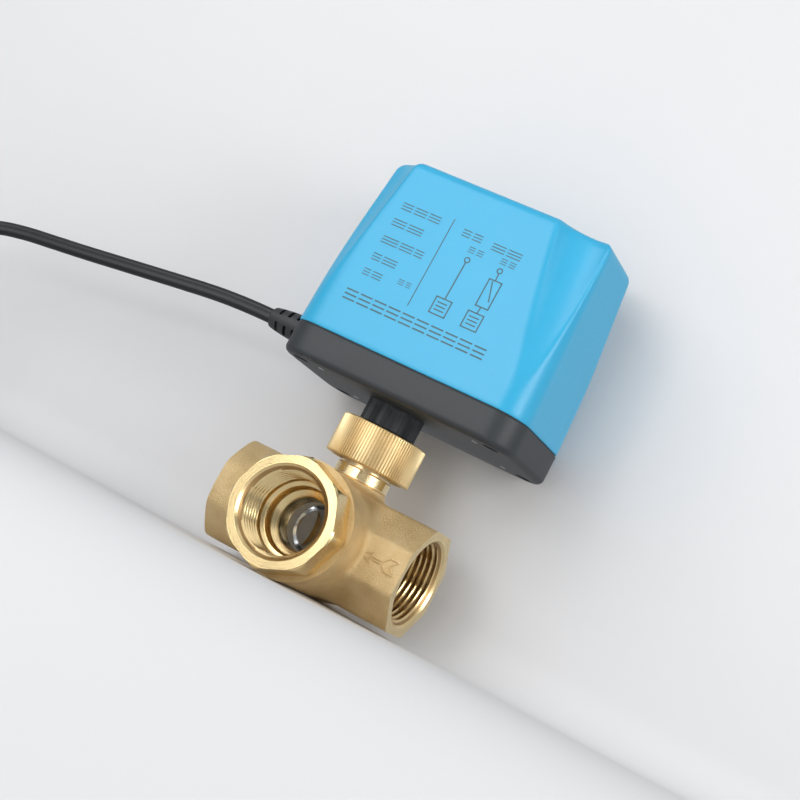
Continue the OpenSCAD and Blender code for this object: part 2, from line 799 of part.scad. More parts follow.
module lead_tail() {
    color([0.06, 0.06, 0.06]) translate([coil_at.x, coil_at.y - tail_r, floor_z + lead_d / 2])
        rotate([0, 90, 0]) cylinder(r = lead_d / 2, h = tail_l);
}

module lead_cores() {
    for (s = [-1, 1]) translate([coil_at.x + tail_l, coil_at.y - tail_r + s * core_gap,
        floor_z + lead_d / 2]) rotate([0, 90, 0]) {
        color(s < 0 ? [0.45, 0.25, 0.12] : [0.15, 0.3, 0.7]) cylinder(r = 1.15, h = 18);
        color([0.8, 0.5, 0.3]) cylinder(r = 0.6, h = 25);
    }
}

// Flat strap round the turns of the coil, on the side towards the valve
module lead_tie() {
    tie_w = 4.4;
    play = 0.15;
    across = 2 * (lead_d + play);
    color([0.1, 0.1, 0.1]) translate([coil_at.x + coil_r, coil_at.y, floor_z + tie_t + coil_h / 2])
        difference() {
            cube([across + 2 * tie_t, tie_w, coil_h + 2 * tie_t], center = true);
            cube([across, tie_w + 2, coil_h], center = true);
        }
}

valve_body();
port_adapter();
adapter_seal();
seat_left();
seat_right();
seat_front();
valve_bonnet();
ball();
stem();
stem_seals();
thrust_washer();
union_nut();
base_housing();
nut_retaining_ring();
cover();
cover_gasket();
cover_screws();
lower_plate();
upper_plate();
plate_posts();
post_screws();
shaft_bushes();
idler_axle();
motor_case();
motor_base();
motor_coil();
motor_screws();
motor_rotor();
motor_pinion();
idler_gear();
output_shaft();
output_gear();
cam_lower();
cam_upper();
shaft_clip();
drive_coupler();
return_spring();
switch_lower();
switch_upper();
lever_lower();
lever_upper();
switch_screws();
control_board();
terminal_block();
capacitor();
board_posts();
inner_leads();
strain_relief();
lead_cord();
lead_coil();
lead_tail();
lead_cores();
lead_tie();
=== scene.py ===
import json
import math

import bmesh
import bpy
import numpy as np
import openvdb
from mathutils import Matrix, Vector


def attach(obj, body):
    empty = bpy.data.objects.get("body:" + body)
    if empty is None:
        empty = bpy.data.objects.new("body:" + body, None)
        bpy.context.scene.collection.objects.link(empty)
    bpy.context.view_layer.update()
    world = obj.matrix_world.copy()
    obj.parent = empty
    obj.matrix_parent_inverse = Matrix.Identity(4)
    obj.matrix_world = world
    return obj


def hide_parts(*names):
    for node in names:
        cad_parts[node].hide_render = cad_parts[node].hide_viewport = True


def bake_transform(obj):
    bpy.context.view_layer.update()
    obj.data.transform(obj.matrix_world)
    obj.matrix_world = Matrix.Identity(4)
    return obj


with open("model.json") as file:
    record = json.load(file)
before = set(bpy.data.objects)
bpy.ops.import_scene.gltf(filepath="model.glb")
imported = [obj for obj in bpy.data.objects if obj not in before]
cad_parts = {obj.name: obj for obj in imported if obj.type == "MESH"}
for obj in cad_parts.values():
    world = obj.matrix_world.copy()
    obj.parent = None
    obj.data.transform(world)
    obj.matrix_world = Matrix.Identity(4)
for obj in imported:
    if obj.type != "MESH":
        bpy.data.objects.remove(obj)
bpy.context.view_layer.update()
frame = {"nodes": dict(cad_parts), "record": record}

mm = 0.001
scene = bpy.context.scene
nodes = frame["nodes"]

# X runs along the pipe, Z up the stem, the front port looks along -Y, and all sizes below are in millimetres

camera = {
    "place": (264.1, -615.5, -6.9),  # from the ball's centre
    "looks": (-0.3938, 0.9140, 0.0976),
    "up": (-0.3945, -0.2639, 0.8802),
    "focal": 1774,  # for a frame 800 wide
    "frameWidth": 800,
}


def makeCamera(setup):
    lens = bpy.data.cameras.new("camera")
    lens.sensor_width = 36
    lens.lens = 36 * setup["focal"] / setup["frameWidth"]
    lens.clip_start = 0.01
    lens.clip_end = 20
    rig = bpy.data.objects.new("camera", lens)
    scene.collection.objects.link(rig)
    back = -Vector(setup["looks"]).normalized()
    right = Vector(setup["up"]).cross(back).normalized()
    turn = Matrix((right, back.cross(right), back)).transposed().to_4x4()
    rig.matrix_world = Matrix.Translation(Vector(setup["place"]) * mm) @ turn
    scene.camera = rig


makeCamera(camera)
scene.view_settings.view_transform = "Standard"
print("camera placed")


# Materials: each finish is a Principled shader whose colour, roughness and bump come from textures


def startMaterial(name, roughness, metallic=0.0, coat=0.0, specular=0.5):
    material = bpy.data.materials.new(name)
    material.use_nodes = True
    shader = material.node_tree.nodes["Principled BSDF"]
    shader.inputs["Roughness"].default_value = roughness
    shader.inputs["Metallic"].default_value = metallic
    shader.inputs["Coat Weight"].default_value = coat
    shader.inputs["Coat Roughness"].default_value = 0.12
    shader.inputs["Specular IOR Level"].default_value = specular
    return material, material.node_tree, shader


def place(tree, stretch=(1, 1, 1), shift=(0, 0, 0)):
    coordinate = tree.nodes.new("ShaderNodeTexCoord")
    mapping = tree.nodes.new("ShaderNodeMapping")
    mapping.inputs["Scale"].default_value = stretch
    mapping.inputs["Location"].default_value = shift
    tree.links.new(coordinate.outputs["Object"], mapping.inputs["Vector"])
    return mapping.outputs["Vector"]


def noise(tree, where, perMetre, detail=4, rough=0.55):
    texture = tree.nodes.new("ShaderNodeTexNoise")
    texture.inputs["Scale"].default_value = perMetre
    texture.inputs["Detail"].default_value = detail
    texture.inputs["Roughness"].default_value = rough
    tree.links.new(where, texture.inputs["Vector"])
    return texture.outputs["Fac"]


def ramp(tree, value, stops):
    mix = tree.nodes.new("ShaderNodeValToRGB")
    while len(mix.color_ramp.elements) < len(stops):
        mix.color_ramp.elements.new(0.5)
    for element, (at, color) in zip(mix.color_ramp.elements, stops):
        element.position = at
        element.color = (*color, 1) if len(color) == 3 else color
    tree.links.new(value, mix.inputs["Fac"])
    return mix.outputs["Color"]


def spread(tree, value, low, high, fromLow=0.3, fromHigh=0.7):
    scale = tree.nodes.new("ShaderNodeMapRange")
    scale.inputs["From Min"].default_value = fromLow
    scale.inputs["From Max"].default_value = fromHigh
    scale.inputs["To Min"].default_value = low
    scale.inputs["To Max"].default_value = high
    tree.links.new(value, scale.inputs["Value"])
    return scale.outputs["Result"]


def bump(tree, shader, heights):
    last = None
    for height, distance, strength in heights:
        node = tree.nodes.new("ShaderNodeBump")
        node.inputs["Distance"].default_value = distance * mm
        node.inputs["Strength"].default_value = strength
        tree.links.new(height, node.inputs["Height"])
        if last:
            tree.links.new(last, node.inputs["Normal"])
        last = node.outputs["Normal"]
    tree.links.new(last, shader.inputs["Normal"])


def tinted(tree, shader, value, stops):
    tree.links.new(ramp(tree, value, stops), shader.inputs["Base Color"])


def castBrass():
    material, tree, shader = startMaterial("castBrass", 0.5, metallic=1.0)
    where = place(tree)
    patches = noise(tree, where, 90, 5)
    sand = noise(tree, where, 1900, 3, 0.7)
    stops = [(0.25, (0.60, 0.44, 0.22)), (0.5, (0.72, 0.55, 0.30)), (0.75, (0.80, 0.64, 0.38))]
    tinted(tree, shader, patches, stops)
    tree.links.new(spread(tree, sand, 0.46, 0.66), shader.inputs["Roughness"])
    bump(tree, shader, [(noise(tree, where, 260, 3), 0.3, 0.3), (sand, 0.5, 0.9)])
    return material


def turnedBrass(name, axis, color=(0.86, 0.66, 0.34), roughness=0.26):
    # lathe marks run round the axis, so the noise is squeezed along it
    material, tree, shader = startMaterial(name, roughness, metallic=1.0)
    where = place(tree)
    separate = tree.nodes.new("ShaderNodeSeparateXYZ")
    tree.links.new(where, separate.inputs["Vector"])
    square = []
    for letter in "XYZ".replace(axis, ""):
        power = tree.nodes.new("ShaderNodeMath")
        power.operation = "MULTIPLY"
        tree.links.new(separate.outputs[letter], power.inputs[0])
        tree.links.new(separate.outputs[letter], power.inputs[1])
        square.append(power.outputs[0])
    total = tree.nodes.new("ShaderNodeMath")
    total.operation = "ADD"
    tree.links.new(square[0], total.inputs[0])
    tree.links.new(square[1], total.inputs[1])
    radius = tree.nodes.new("ShaderNodeMath")
    radius.operation = "SQRT"
    tree.links.new(total.outputs[0], radius.inputs[0])
    join = tree.nodes.new("ShaderNodeCombineXYZ")
    tree.links.new(radius.outputs[0], join.inputs["X"])
    tree.links.new(separate.outputs[axis], join.inputs["Y"])
    rings = noise(tree, join.outputs["Vector"], 5200, 2, 0.6)
    soft = noise(tree, where, 120, 3)
    tinted(tree, shader, soft, [(0.3, tuple(c * 0.86 for c in color)), (0.7, color)])
    tree.links.new(spread(tree, rings, roughness - 0.07, roughness + 0.12), shader.inputs["Roughness"])
    bump(tree, shader, [(rings, 0.05, 0.5), (noise(tree, where, 300, 3), 0.05, 0.2)])
    return material


def metal(name, color, roughness, perMetre=900, stretch=(1, 1, 1), depth=0.03):
    material, tree, shader = startMaterial(name, roughness, metallic=1.0)
    grain = noise(tree, place(tree, stretch), perMetre, 4)
    tinted(tree, shader, grain, [(0.3, tuple(c * 0.85 for c in color)), (0.7, color)])
    tree.links.new(spread(tree, grain, roughness - 0.06, roughness + 0.1), shader.inputs["Roughness"])
    bump(tree, shader, [(grain, depth, 0.4)])
    return material


def moulded(name, color, roughness, depth=0.03, perMetre=2600, coat=0.0, shade=0.88, specular=0.5):
    material, tree, shader = startMaterial(name, roughness, coat=coat, specular=specular)
    where = place(tree)
    grain = noise(tree, where, perMetre, 3, 0.6)
    cloud = noise(tree, where, 60, 3)
    tinted(tree, shader, cloud, [(0.3, tuple(c * shade for c in color)), (0.7, color)])
    tree.links.new(spread(tree, grain, roughness - 0.05, roughness + 0.08), shader.inputs["Roughness"])
    bump(tree, shader, [(grain, depth, 0.4)])
    return material


materials = {
    "cast": castBrass(),
    "turnedX": turnedBrass("turnedBrassAlongPipe", "X"),
    "turnedY": turnedBrass("turnedBrassFront", "Y", roughness=0.22),
    "turnedZ": turnedBrass("turnedBrassUp", "Z", color=(0.88, 0.70, 0.40)),
    # painted shade: a darker brass laid in the thread roots, where shade falls in the hollows
    "paintedRootShade": metal("threadRoots", (0.42, 0.27, 0.12), 0.42),
    "nut": turnedBrass("knurledBrass", "Z", color=(0.86, 0.68, 0.38), roughness=0.36),
    "chrome": metal("chromePlate", (0.70, 0.71, 0.72), 0.10, 400, depth=0.01),
    "cover": moulded("blueAbs", (0.025, 0.36, 0.60), 0.36, 0.02, 1500, shade=0.97),
    "base": moulded("blackAbs", (0.022, 0.026, 0.030), 0.50, 0.035, 2200),
    "rubber": moulded("softRubber", (0.018, 0.018, 0.02), 0.62, 0.04, 1800),
    "lead": moulded("leadSheath", (0.010, 0.011, 0.013), 0.40, 0.02, 1400, specular=0.4),
    "gland": moulded("glandRubber", (0.022, 0.023, 0.026), 0.48, 0.03, 1800),
    "ink": moulded("greyInk", (0.05, 0.12, 0.15), 0.55, 0.01, 3000),
}

bodySurface = {
    "ptfe": moulded("ptfe", (0.86, 0.86, 0.83), 0.42, 0.02, 900),
    "seal_rubber": materials["rubber"],
    "gasket": materials["rubber"],
    "chrome_ball": materials["chrome"],
    "stem_brass": materials["turnedZ"],
    "machined_brass": materials["turnedZ"],
    "cast_brass": materials["cast"],
    "brass_nut": materials["nut"],
    "blue_cover": materials["cover"],
    "black_base": materials["base"],
    "screw_steel": metal("zincScrew", (0.60, 0.61, 0.62), 0.30),
    "plate_steel": metal("zincSheet", (0.63, 0.64, 0.65), 0.34, 1400, (1, 0.08, 1)),
    "post_brass": metal("postBrass", (0.83, 0.64, 0.34), 0.28),
    "bush_bronze": metal("sinteredBronze", (0.52, 0.33, 0.15), 0.5, 2600, depth=0.05),
    "motor_can": metal("drawnCan", (0.66, 0.67, 0.69), 0.3, 1600, (1, 1, 0.05)),
    "copper_coil": metal("enamelledWire", (0.56, 0.20, 0.07), 0.3, 3000, (0.05, 0.05, 1), 0.12),
    "magnet": moulded("ferrite", (0.05, 0.05, 0.055), 0.6, 0.03),
    "pinion_brass": metal("hobbedBrass", (0.84, 0.65, 0.33), 0.26),
    "gear_plastic": moulded("acetal", (0.80, 0.80, 0.75), 0.4, 0.015, 900),
    "shaft_steel": metal("groundSteel", (0.56, 0.57, 0.59), 0.2, 2200, (1, 1, 0.1)),
    "cam_orange": moulded("orangeNylon", (0.75, 0.24, 0.04), 0.42),
    "cam_blue": moulded("blueNylon", (0.05, 0.18, 0.55), 0.42),
    "coupler_black": moulded("glassFilledNylon", (0.035, 0.035, 0.04), 0.55, 0.05),
    "spring_steel": metal("springWire", (0.45, 0.46, 0.48), 0.28, 1500),
    "switch_black": moulded("switchCase", (0.022, 0.022, 0.025), 0.45),
    "board_green": moulded("solderMask", (0.02, 0.17, 0.07), 0.3, 0.03, 1200, coat=0.4),
    "terminal_green": moulded("terminalGreen", (0.03, 0.30, 0.12), 0.42),
    "capacitor_red": moulded("dippedRed", (0.42, 0.02, 0.015), 0.25, 0.03, 500, coat=0.5),
    "wire_insulation": moulded("wirePvc", (0.26, 0.12, 0.05), 0.4),
    "gland_black": materials["gland"],
    "lead_black": materials["lead"],
    "core_wires": moulded("corePvc", (0.16, 0.10, 0.22), 0.4),
    "tie_black": moulded("tieNylon", (0.02, 0.02, 0.02), 0.45),
}
slotOf = {part["node"]: part["material_slot"] for part in frame["record"]["subparts"]}
for nodeName, nodeObject in nodes.items():
    nodeObject.data.materials.clear()
    nodeObject.data.materials.append(bodySurface[slotOf[nodeName]])
print("materials made")


# Shape helpers


def newObject(name, mesh):
    made = bpy.data.objects.new(name, mesh)
    scene.collection.objects.link(made)
    return made


def piece(name, points, faces, material, sharp=32, fixNormals=True):
    # points in millimetres; smooth faces with sharp edges past the angle
    mesh = bpy.data.meshes.new(name)
    mesh.from_pydata((np.asarray(points, float) * mm).tolist(), [], [list(map(int, f)) for f in faces])
    if fixNormals:
        work = bmesh.new()
        work.from_mesh(mesh)
        bmesh.ops.recalc_face_normals(work, faces=work.faces)
        work.to_mesh(mesh)
        work.free()
    mesh.materials.append(material)
    finishShading(mesh, sharp)
    return newObject(name, mesh)


def finishShading(mesh, sharp=32):
    mesh.polygons.foreach_set("use_smooth", [True] * len(mesh.polygons))
    mesh.set_sharp_from_angle(angle=math.radians(sharp))
    mesh.update()


def turned(points, axis):
    # from a shape made up the Z axis to one along the pipe, its other way, or the front
    x, y, z = np.asarray(points, float).T
    if axis == "front":
        return np.c_[x, -z, y]
    if axis == "right":
        return np.c_[z, x, y]
    if axis == "left":
        return np.c_[-z, -x, y]
    return np.c_[x, y, z]


def loopFaces(rings, around, closed):
    # quads between rings of equal length; a closed stack joins its last ring to its first
    i = np.arange(rings if closed else rings - 1)[:, None]
    k = np.arange(around)[None, :]
    j = (i + 1) % rings
    n = (k + 1) % around
    quads = np.stack([i * around + k, i * around + n, j * around + n, j * around + k], -1)
    return quads.reshape(-1, 4).tolist()


def lathe(profile, around, radiusAt=None):
    # closed profile of (radius, height, tag) turned about Z; radiusAt may change the radius round the turn
    angle = np.arange(around) * 2 * math.pi / around
    points = []
    for radius, height, *tag in profile:
        r = np.full(around, float(radius))
        if radiusAt and tag:
            r = radiusAt(tag[0], r, height, angle)
        points.append(np.c_[r * np.cos(angle), r * np.sin(angle), np.full(around, float(height))])
    return np.vstack(points), loopFaces(len(profile), around, True)


def solidLathe(profile, around, radiusAt=None):
    # open profile closed with a fan at each end
    points, _ = lathe(profile, around, radiusAt)
    faces = loopFaces(len(profile), around, False)
    last = (len(profile) - 1) * around
    return points, faces + [list(range(around))[::-1], [last + k for k in range(around)]]


def joined(parts):
    points, faces, start = [], [], 0
    for p, f in parts:
        points.append(np.asarray(p, float))
        faces += [[i + start for i in face] for face in f]
        start += len(p)
    return np.vstack(points), faces


def boxShape(low, high):
    corners = [(x, y, z) for z in (low[2], high[2]) for y in (low[1], high[1]) for x in (low[0], high[0])]
    return corners, [(0, 2, 3, 1), (4, 5, 7, 6), (0, 1, 5, 4), (2, 6, 7, 3), (0, 4, 6, 2), (1, 3, 7, 5)]


def cylinderShape(center, axis, radius, low, high, around=48):
    points, faces = solidLathe([(radius, low), (radius, high)], around)
    return turned(points, axis) + np.asarray(center, float), faces


def swept(path, section, upAt=None, caps=True):
    # a closed section of (across, up) offsets carried along the path
    path = np.asarray(path, float)
    heading = np.gradient(path, axis=0)
    heading /= np.linalg.norm(heading, axis=1)[:, None]
    up = np.tile((0.0, 0.0, 1.0), (len(path), 1)) if upAt is None else np.asarray(upAt, float)
    up = up - heading * (heading * up).sum(1)[:, None]
    up /= np.linalg.norm(up, axis=1)[:, None]
    across = np.cross(heading, up)
    section = np.asarray(section, float)
    if section.ndim == 2:
        section = np.tile(section, (len(path), 1, 1))
    points = path[:, None] + section[:, :, :1] * across[:, None] + section[:, :, 1:] * up[:, None]
    around = section.shape[1]
    faces = loopFaces(len(path), around, False)
    if caps:
        last = (len(path) - 1) * around
        faces += [list(range(around))[::-1], [last + k for k in range(around)]]
    return points.reshape(-1, 3), faces


def apply(target):
    bpy.context.view_layer.update()
    made = bpy.data.meshes.new_from_object(target.evaluated_get(bpy.context.evaluated_depsgraph_get()))
    old = target.data
    target.modifiers.clear()
    target.data = made
    made.name = target.name
    bpy.data.meshes.remove(old)


def combine(target, shapes, operation):
    # exact boolean with each closed shape in turn; a shape is (points, faces)
    cutters = []
    for points, faces in shapes:
        cutter = piece("cutter", points, faces, target.data.materials[0])
        change = target.modifiers.new("cut", "BOOLEAN")
        change.operation = operation
        change.solver = "EXACT"
        change.object = cutter
        cutters.append(cutter)
    apply(target)
    for cutter in cutters:
        bpy.data.objects.remove(cutter)


def clean(target, sharp=32, merge=0.002):
    work = bmesh.new()
    work.from_mesh(target.data)
    bmesh.ops.remove_doubles(work, verts=work.verts, dist=merge * mm)
    bmesh.ops.dissolve_degenerate(work, edges=work.edges, dist=merge * mm)
    bmesh.ops.recalc_face_normals(work, faces=work.faces)
    work.to_mesh(target.data)
    work.free()
    finishShading(target.data, sharp)


def arc(center, radius, fromAngle, toAngle, steps):
    for a in np.radians(np.linspace(fromAngle, toAngle, steps)):
        yield center[0] + radius * math.cos(a), center[1] + radius * math.sin(a)


def smoothMax(a, b, soft):
    h = np.clip(0.5 + 0.5 * (a - b) / soft, 0, 1)
    return b + (a - b) * h + soft * h * (1 - h)


def smoothMin(a, b, soft):
    return -smoothMax(-a, -b, soft)


# Supply lead: from the housing through its strain relief, down past the pipe and into a tied coil

lead = {
    "width": 6.0,
    "thickness": 4.4,
    "length": 1.0,  # metres
    "exit": (-45.2, 0, 67),
    "route": [
        (-45.2, 0, 67), (-56, 0, 67), (-66, 0, 67), (-78, 0, 66.8), (-92, 0, 66), (-110, 0, 64), (-126, 0, 62),
        (-142, 0, 60), (-158, 0, 58), (-174, 0, 56.2), (-189, 0, 54.4), (-202, -1, 51.4), (-212.5, -4, 45.5),
        (-220, -9, 37), (-224.5, -15, 27.5), (-227, -20.5, 17.5), (-228, -25, 7), (-228, -30, -3),
        (-228, -38, -12.4), (-228, -48, -17)],
    "coilCenter": (-192, -60),
    "coilRadius": 33,
    "turns": 3.25,
    "floor": -22.9,
    "tieThickness": 0.8,
    "tail": 24,
    "coreGap": 1.4,
}


def smoothed(points, step):
    # a curve through the points, with its own points "step" apart
    points = np.asarray(points, float)
    far = np.r_[0, np.cumsum(np.linalg.norm(np.diff(points, axis=0), axis=1) ** 0.5)]
    ends = np.vstack([2 * points[0] - points[1], points, 2 * points[-1] - points[-2]])
    knots = np.r_[-far[1], far, 2 * far[-1] - far[-2]]
    curve = []
    for i in range(len(points) - 1):
        p0, p1, p2, p3 = ends[i:i + 4]
        t0, t1, t2, t3 = knots[i:i + 4]
        for t in np.linspace(t1, t2, 12, endpoint=False):
            a1 = p0 * (t1 - t) / (t1 - t0) + p1 * (t - t0) / (t1 - t0)
            a2 = p1 * (t2 - t) / (t2 - t1) + p2 * (t - t1) / (t2 - t1)
            a3 = p2 * (t3 - t) / (t3 - t2) + p3 * (t - t2) / (t3 - t2)
            b1 = a1 * (t2 - t) / (t2 - t0) + a2 * (t - t0) / (t2 - t0)
            b2 = a2 * (t3 - t) / (t3 - t1) + a3 * (t - t1) / (t3 - t1)
            curve.append(b1 * (t2 - t) / (t2 - t1) + b2 * (t - t1) / (t2 - t1))
    curve = np.array(curve + [points[-1]])
    along = np.r_[0, np.cumsum(np.linalg.norm(np.diff(curve, axis=0), axis=1))]
    even = np.linspace(0, along[-1], max(2, int(along[-1] / step)))
    return np.c_[[np.interp(even, along, curve[:, k]) for k in range(3)]].T


def coilPath(setup):
    # two by two strands: each turn moves on to the next place of the bundle just before it passes the left side
    d = setup["width"]
    middle = setup["coilRadius"]
    height = setup["floor"] + setup["tieThickness"] + d
    corner = d / math.sqrt(2)
    points = []
    for turn in np.linspace(0, setup["turns"], int(setup["turns"] * 40) + 1)[3:]:
        whole, part = divmod(turn, 1)
        shift = np.clip((part - 0.68) / 0.3, 0, 1)
        # 0 is low outside, 1 low inside, 2 high inside, 3 high outside
        place = whole + shift * shift * (3 - 2 * shift)
        tilt = math.radians(-45 - 90 * place)
        r = middle + corner * math.cos(tilt)
        z = height + corner * math.sin(tilt)
        if turn > 3:
            out = (turn - 3) / (setup["turns"] - 3)
            out = out * out * (3 - 2 * out)
            r += out * (middle + 1.5 * d - r)
            z += out * (setup["floor"] + d / 2 - z)
        a = math.radians(180 + 360 * turn)
        points.append((setup["coilCenter"][0] + r * math.cos(a), setup["coilCenter"][1] + r * math.sin(a), z))
    return points


def leadSection(width, thickness, count=28):
    # two round cores under one sheath, with a groove between them
    angle = np.arange(count) * 2 * math.pi / count
    lobe = width / 2 - thickness / 2
    half = np.abs(np.sin(angle)) ** 0.9 * np.sign(np.sin(angle)) * width / 2
    center = np.clip(np.abs(half), lobe, None)
    thick = np.sqrt(np.clip((thickness / 2) ** 2 - (center - lobe) ** 2, 0, None))
    waist = 1 - 0.16 * np.exp(-(half / 0.75) ** 2)
    return np.c_[np.sign(np.cos(angle)) * thick * waist, half]


coilPoints = coilPath(lead)
tailStart = np.array(coilPoints[-1])
tailPoints = [tailStart + np.array((s * lead["tail"], 0, 0)) for s in (0.3, 0.6, 1.0)]
leadPath = smoothed(lead["route"] + coilPoints + tailPoints, 1.6)
leadLength = float(np.linalg.norm(np.diff(leadPath, axis=0), axis=1).sum())
leadPoints, leadFaces = swept(leadPath, leadSection(lead["width"], lead["thickness"]))
leadPiece = piece("supply_lead", leadPoints, leadFaces, materials["lead"], sharp=60)
print("lead is", round(leadLength), "mm long")


def makeCores(setup):
    # two insulated cores out of the sheath's end, each stripped at its tip
    start = np.array(coilPoints[-1]) + np.array((setup["tail"], 0, 0))
    parts = {"insulation": [], "copper": []}
    for side in (-1, 1):
        for kind, radius, reach in (("insulation", 1.15, 18), ("copper", 0.6, 25)):
            places = [(x, side * (setup["coreGap"] + 0.02 * x), 0) for x in (-1, 4, 9, 14, reach)]
            path = [start + np.array(spot) for spot in places]
            ring = [(radius * math.cos(a), radius * math.sin(a)) for a in np.linspace(0, 2 * math.pi, 17)[:-1]]
            parts[kind].append(swept(path, ring))
    insulated = piece("lead_core_insulation", *joined(parts["insulation"]), bodySurface["core_wires"], sharp=50)
    bare = piece("lead_core_copper", *joined(parts["copper"]), bodySurface["copper_coil"], sharp=50)
    return insulated, bare


coreInsulation, coreCopper = makeCores(lead)

relief = {
    "axisZ": 67,
    "wall": -43.2,
    "flange": -45.2,
    "rows": 4,
    "pitch": 4.2,
    "slit": (1.4, 4.4, 3.9),  # along the lead, round it, and its floor's distance from the middle
}


def makeRelief(setup):
    # a soft sleeve: collar inside the wall, flange outside, then a taper down to the lead
    outline = [(3.1, 38.9), (5.1, 38.9), (5.4, 39.2), (5.4, 40.6), (5.1, 40.9), (4.4, 40.9), (4.4, 43.2)]
    outline += [(5.9, 43.2), (6.2, 43.6), (6.2, 44.8), (5.9, 45.2)]
    outline += [(5.85, 48), (5.7, 52), (5.45, 56), (5.1, 59.5), (4.7, 62.5), (4.25, 65)]
    outline += list(arc((3.6, 65), 0.6, 0, 80, 4)) + [(3.1, 65.6)]
    points, faces = lathe(outline, 64)
    points = turned(points, "left") + (0, 0, setup["axisZ"])
    sleeve = piece("strain_relief_sleeve", points, faces, materials["gland"])
    along, round_, floor = setup["slit"]
    slits = []
    for row in range(setup["rows"]):
        x = setup["flange"] - 2.6 - row * setup["pitch"]
        for quarter in (45, 135, 225, 315):
            a = math.radians(quarter)
            points, faces = boxShape((x - along, floor, -round_ / 2), (x, floor + 4, round_ / 2))
            points = np.array(points) @ Matrix.Rotation(-a, 3, "X")
            slits.append((points + (0, 0, setup["axisZ"]), faces))
    combine(sleeve, [joined(slits)], "DIFFERENCE")
    clean(sleeve, 35)
    return sleeve


reliefPiece = makeRelief(relief)

tie = {
    "width": 4.2,
    "thickness": 0.8,
    "head": (5.4, 2.6, 3.4),
}


def makeTie(setup):
    # a strap bent round the four strands on the side towards the valve
    x = lead["coilCenter"][0] + lead["coilRadius"]
    z = lead["floor"] + lead["tieThickness"] + lead["width"]
    half = lead["width"] + 0.15 + setup["thickness"] / 2
    high = lead["width"] + setup["thickness"] / 2
    corners = [(half, high - 1.5), (half - 1.5, high), (1.5 - half, high), (-half, high - 1.5)]
    corners += [(-half, 1.5 - high), (1.5 - half, -high), (half - 1.5, -high), (half, 1.5 - high)]
    ring = []
    for k in range(8):
        a, b = np.array(corners[k]), np.array(corners[(k + 1) % 8])
        ring += [a, a + (b - a) * 0.5]
    t, w = setup["thickness"] / 2, setup["width"] / 2
    section = [(-t, -w + 0.2), (-t + 0.2, -w), (t - 0.2, -w), (t, -w + 0.2)]
    section += [(t, w - 0.2), (t - 0.2, w), (-t + 0.2, w), (-t, w - 0.2)]
    points = []
    for k, (px, pz) in enumerate(ring):
        ahead = ring[(k + 1) % 16] - ring[k - 1]
        out = np.array((-ahead[1], ahead[0])) / np.linalg.norm(ahead)
        points += [(x + px + s * out[0], lead["coilCenter"][1] + v, z + pz + s * out[1]) for s, v in section]
    strap = (points, loopFaces(16, 8, True))
    deep, tall, long_ = setup["head"]
    headLow = (x - half - 0.4, lead["coilCenter"][1] - deep / 2, z - long_ / 2)
    headHigh = (x - half + tall - 0.4, lead["coilCenter"][1] + deep / 2, z + long_ / 2)
    made = piece("lead_tie_strap", *joined([strap, boxShape(headLow, headHigh)]), bodySurface["tie_black"])
    return made


tiePiece = makeTie(tie)
print("strain relief and tie made")


# Cover: rings of one outline, each moved inwards by the lean and the top's rounding; the corners are scooped

housing = {
    "left": -43.2,
    "right": 57.3,
    "halfDepth": 32,
    "corner": 12,
    "bottom": 54.5,
    "split": 67.1,
    "coverBottom": 67.5,
    "coverTop": 140.9,
    "wall": 2.3,
    "lean": 3 / 73.4,
    "topRound": 4.2,
    "crown": 0.25,
    "bottomRound": 2.6,
}

scoop = {
    "apex": 84,
    "softness": 1.3,
    # from the back right corner round to the front right one: how much the hollow faces the side and the
    # front, its depth at the apex's height, the lean backwards and sideways, its radius and its offset
    "corners": (
        (0.7071, 0.7071, 5.4, 0.2126, 0, 34, 0),
        (0.7071, 0.7071, 5.4, 0.2126, 0, 34, 0),
        (0.7071, 0.7071, 5.2, 0.1638, 0, 34, 0),
        (0.3486, 0.9373, 4.2, 0.198, 0.084, 14, 6.15),
    ),
}


def outline(inset, cornerSteps=40, sideSteps=14, span=26):
    # rounded rectangle, with closer points near the corners; also gives each point's corner
    left, right, deep = housing["left"] + inset, housing["right"] - inset, housing["halfDepth"] - inset
    radius = max(housing["corner"] - inset, 0.5)
    points, corner = [], []
    centers = [(right - radius, deep - radius), (left + radius, deep - radius)]
    centers += [(left + radius, -deep + radius), (right - radius, -deep + radius)]
    for k, (cx, cy) in enumerate(centers):
        reach = min(span - radius, 0.98 * (deep - radius))  # short of the middle of the short sides
        a = math.radians(90 * k)
        out, along = np.array((math.cos(a), math.sin(a))), np.array((-math.sin(a), math.cos(a)))
        start = np.array((cx, cy)) + out * radius
        end = np.array((cx, cy)) + along * radius
        lineIn = [start - along * reach * (1 - t) for t in np.linspace(0, 1, sideSteps, endpoint=False)]
        bend = [np.array((cx, cy)) + radius * (out * math.cos(t) + along * math.sin(t))
                for t in np.linspace(0, math.pi / 2, cornerSteps // 2)]
        lineOut = [end - out * reach * t for t in np.linspace(0, 1, sideSteps + 1)[1:]]
        points += lineIn + bend + lineOut
        corner += [k] * (len(lineIn) + len(bend) + len(lineOut))
    return np.array(points), np.array(corner)


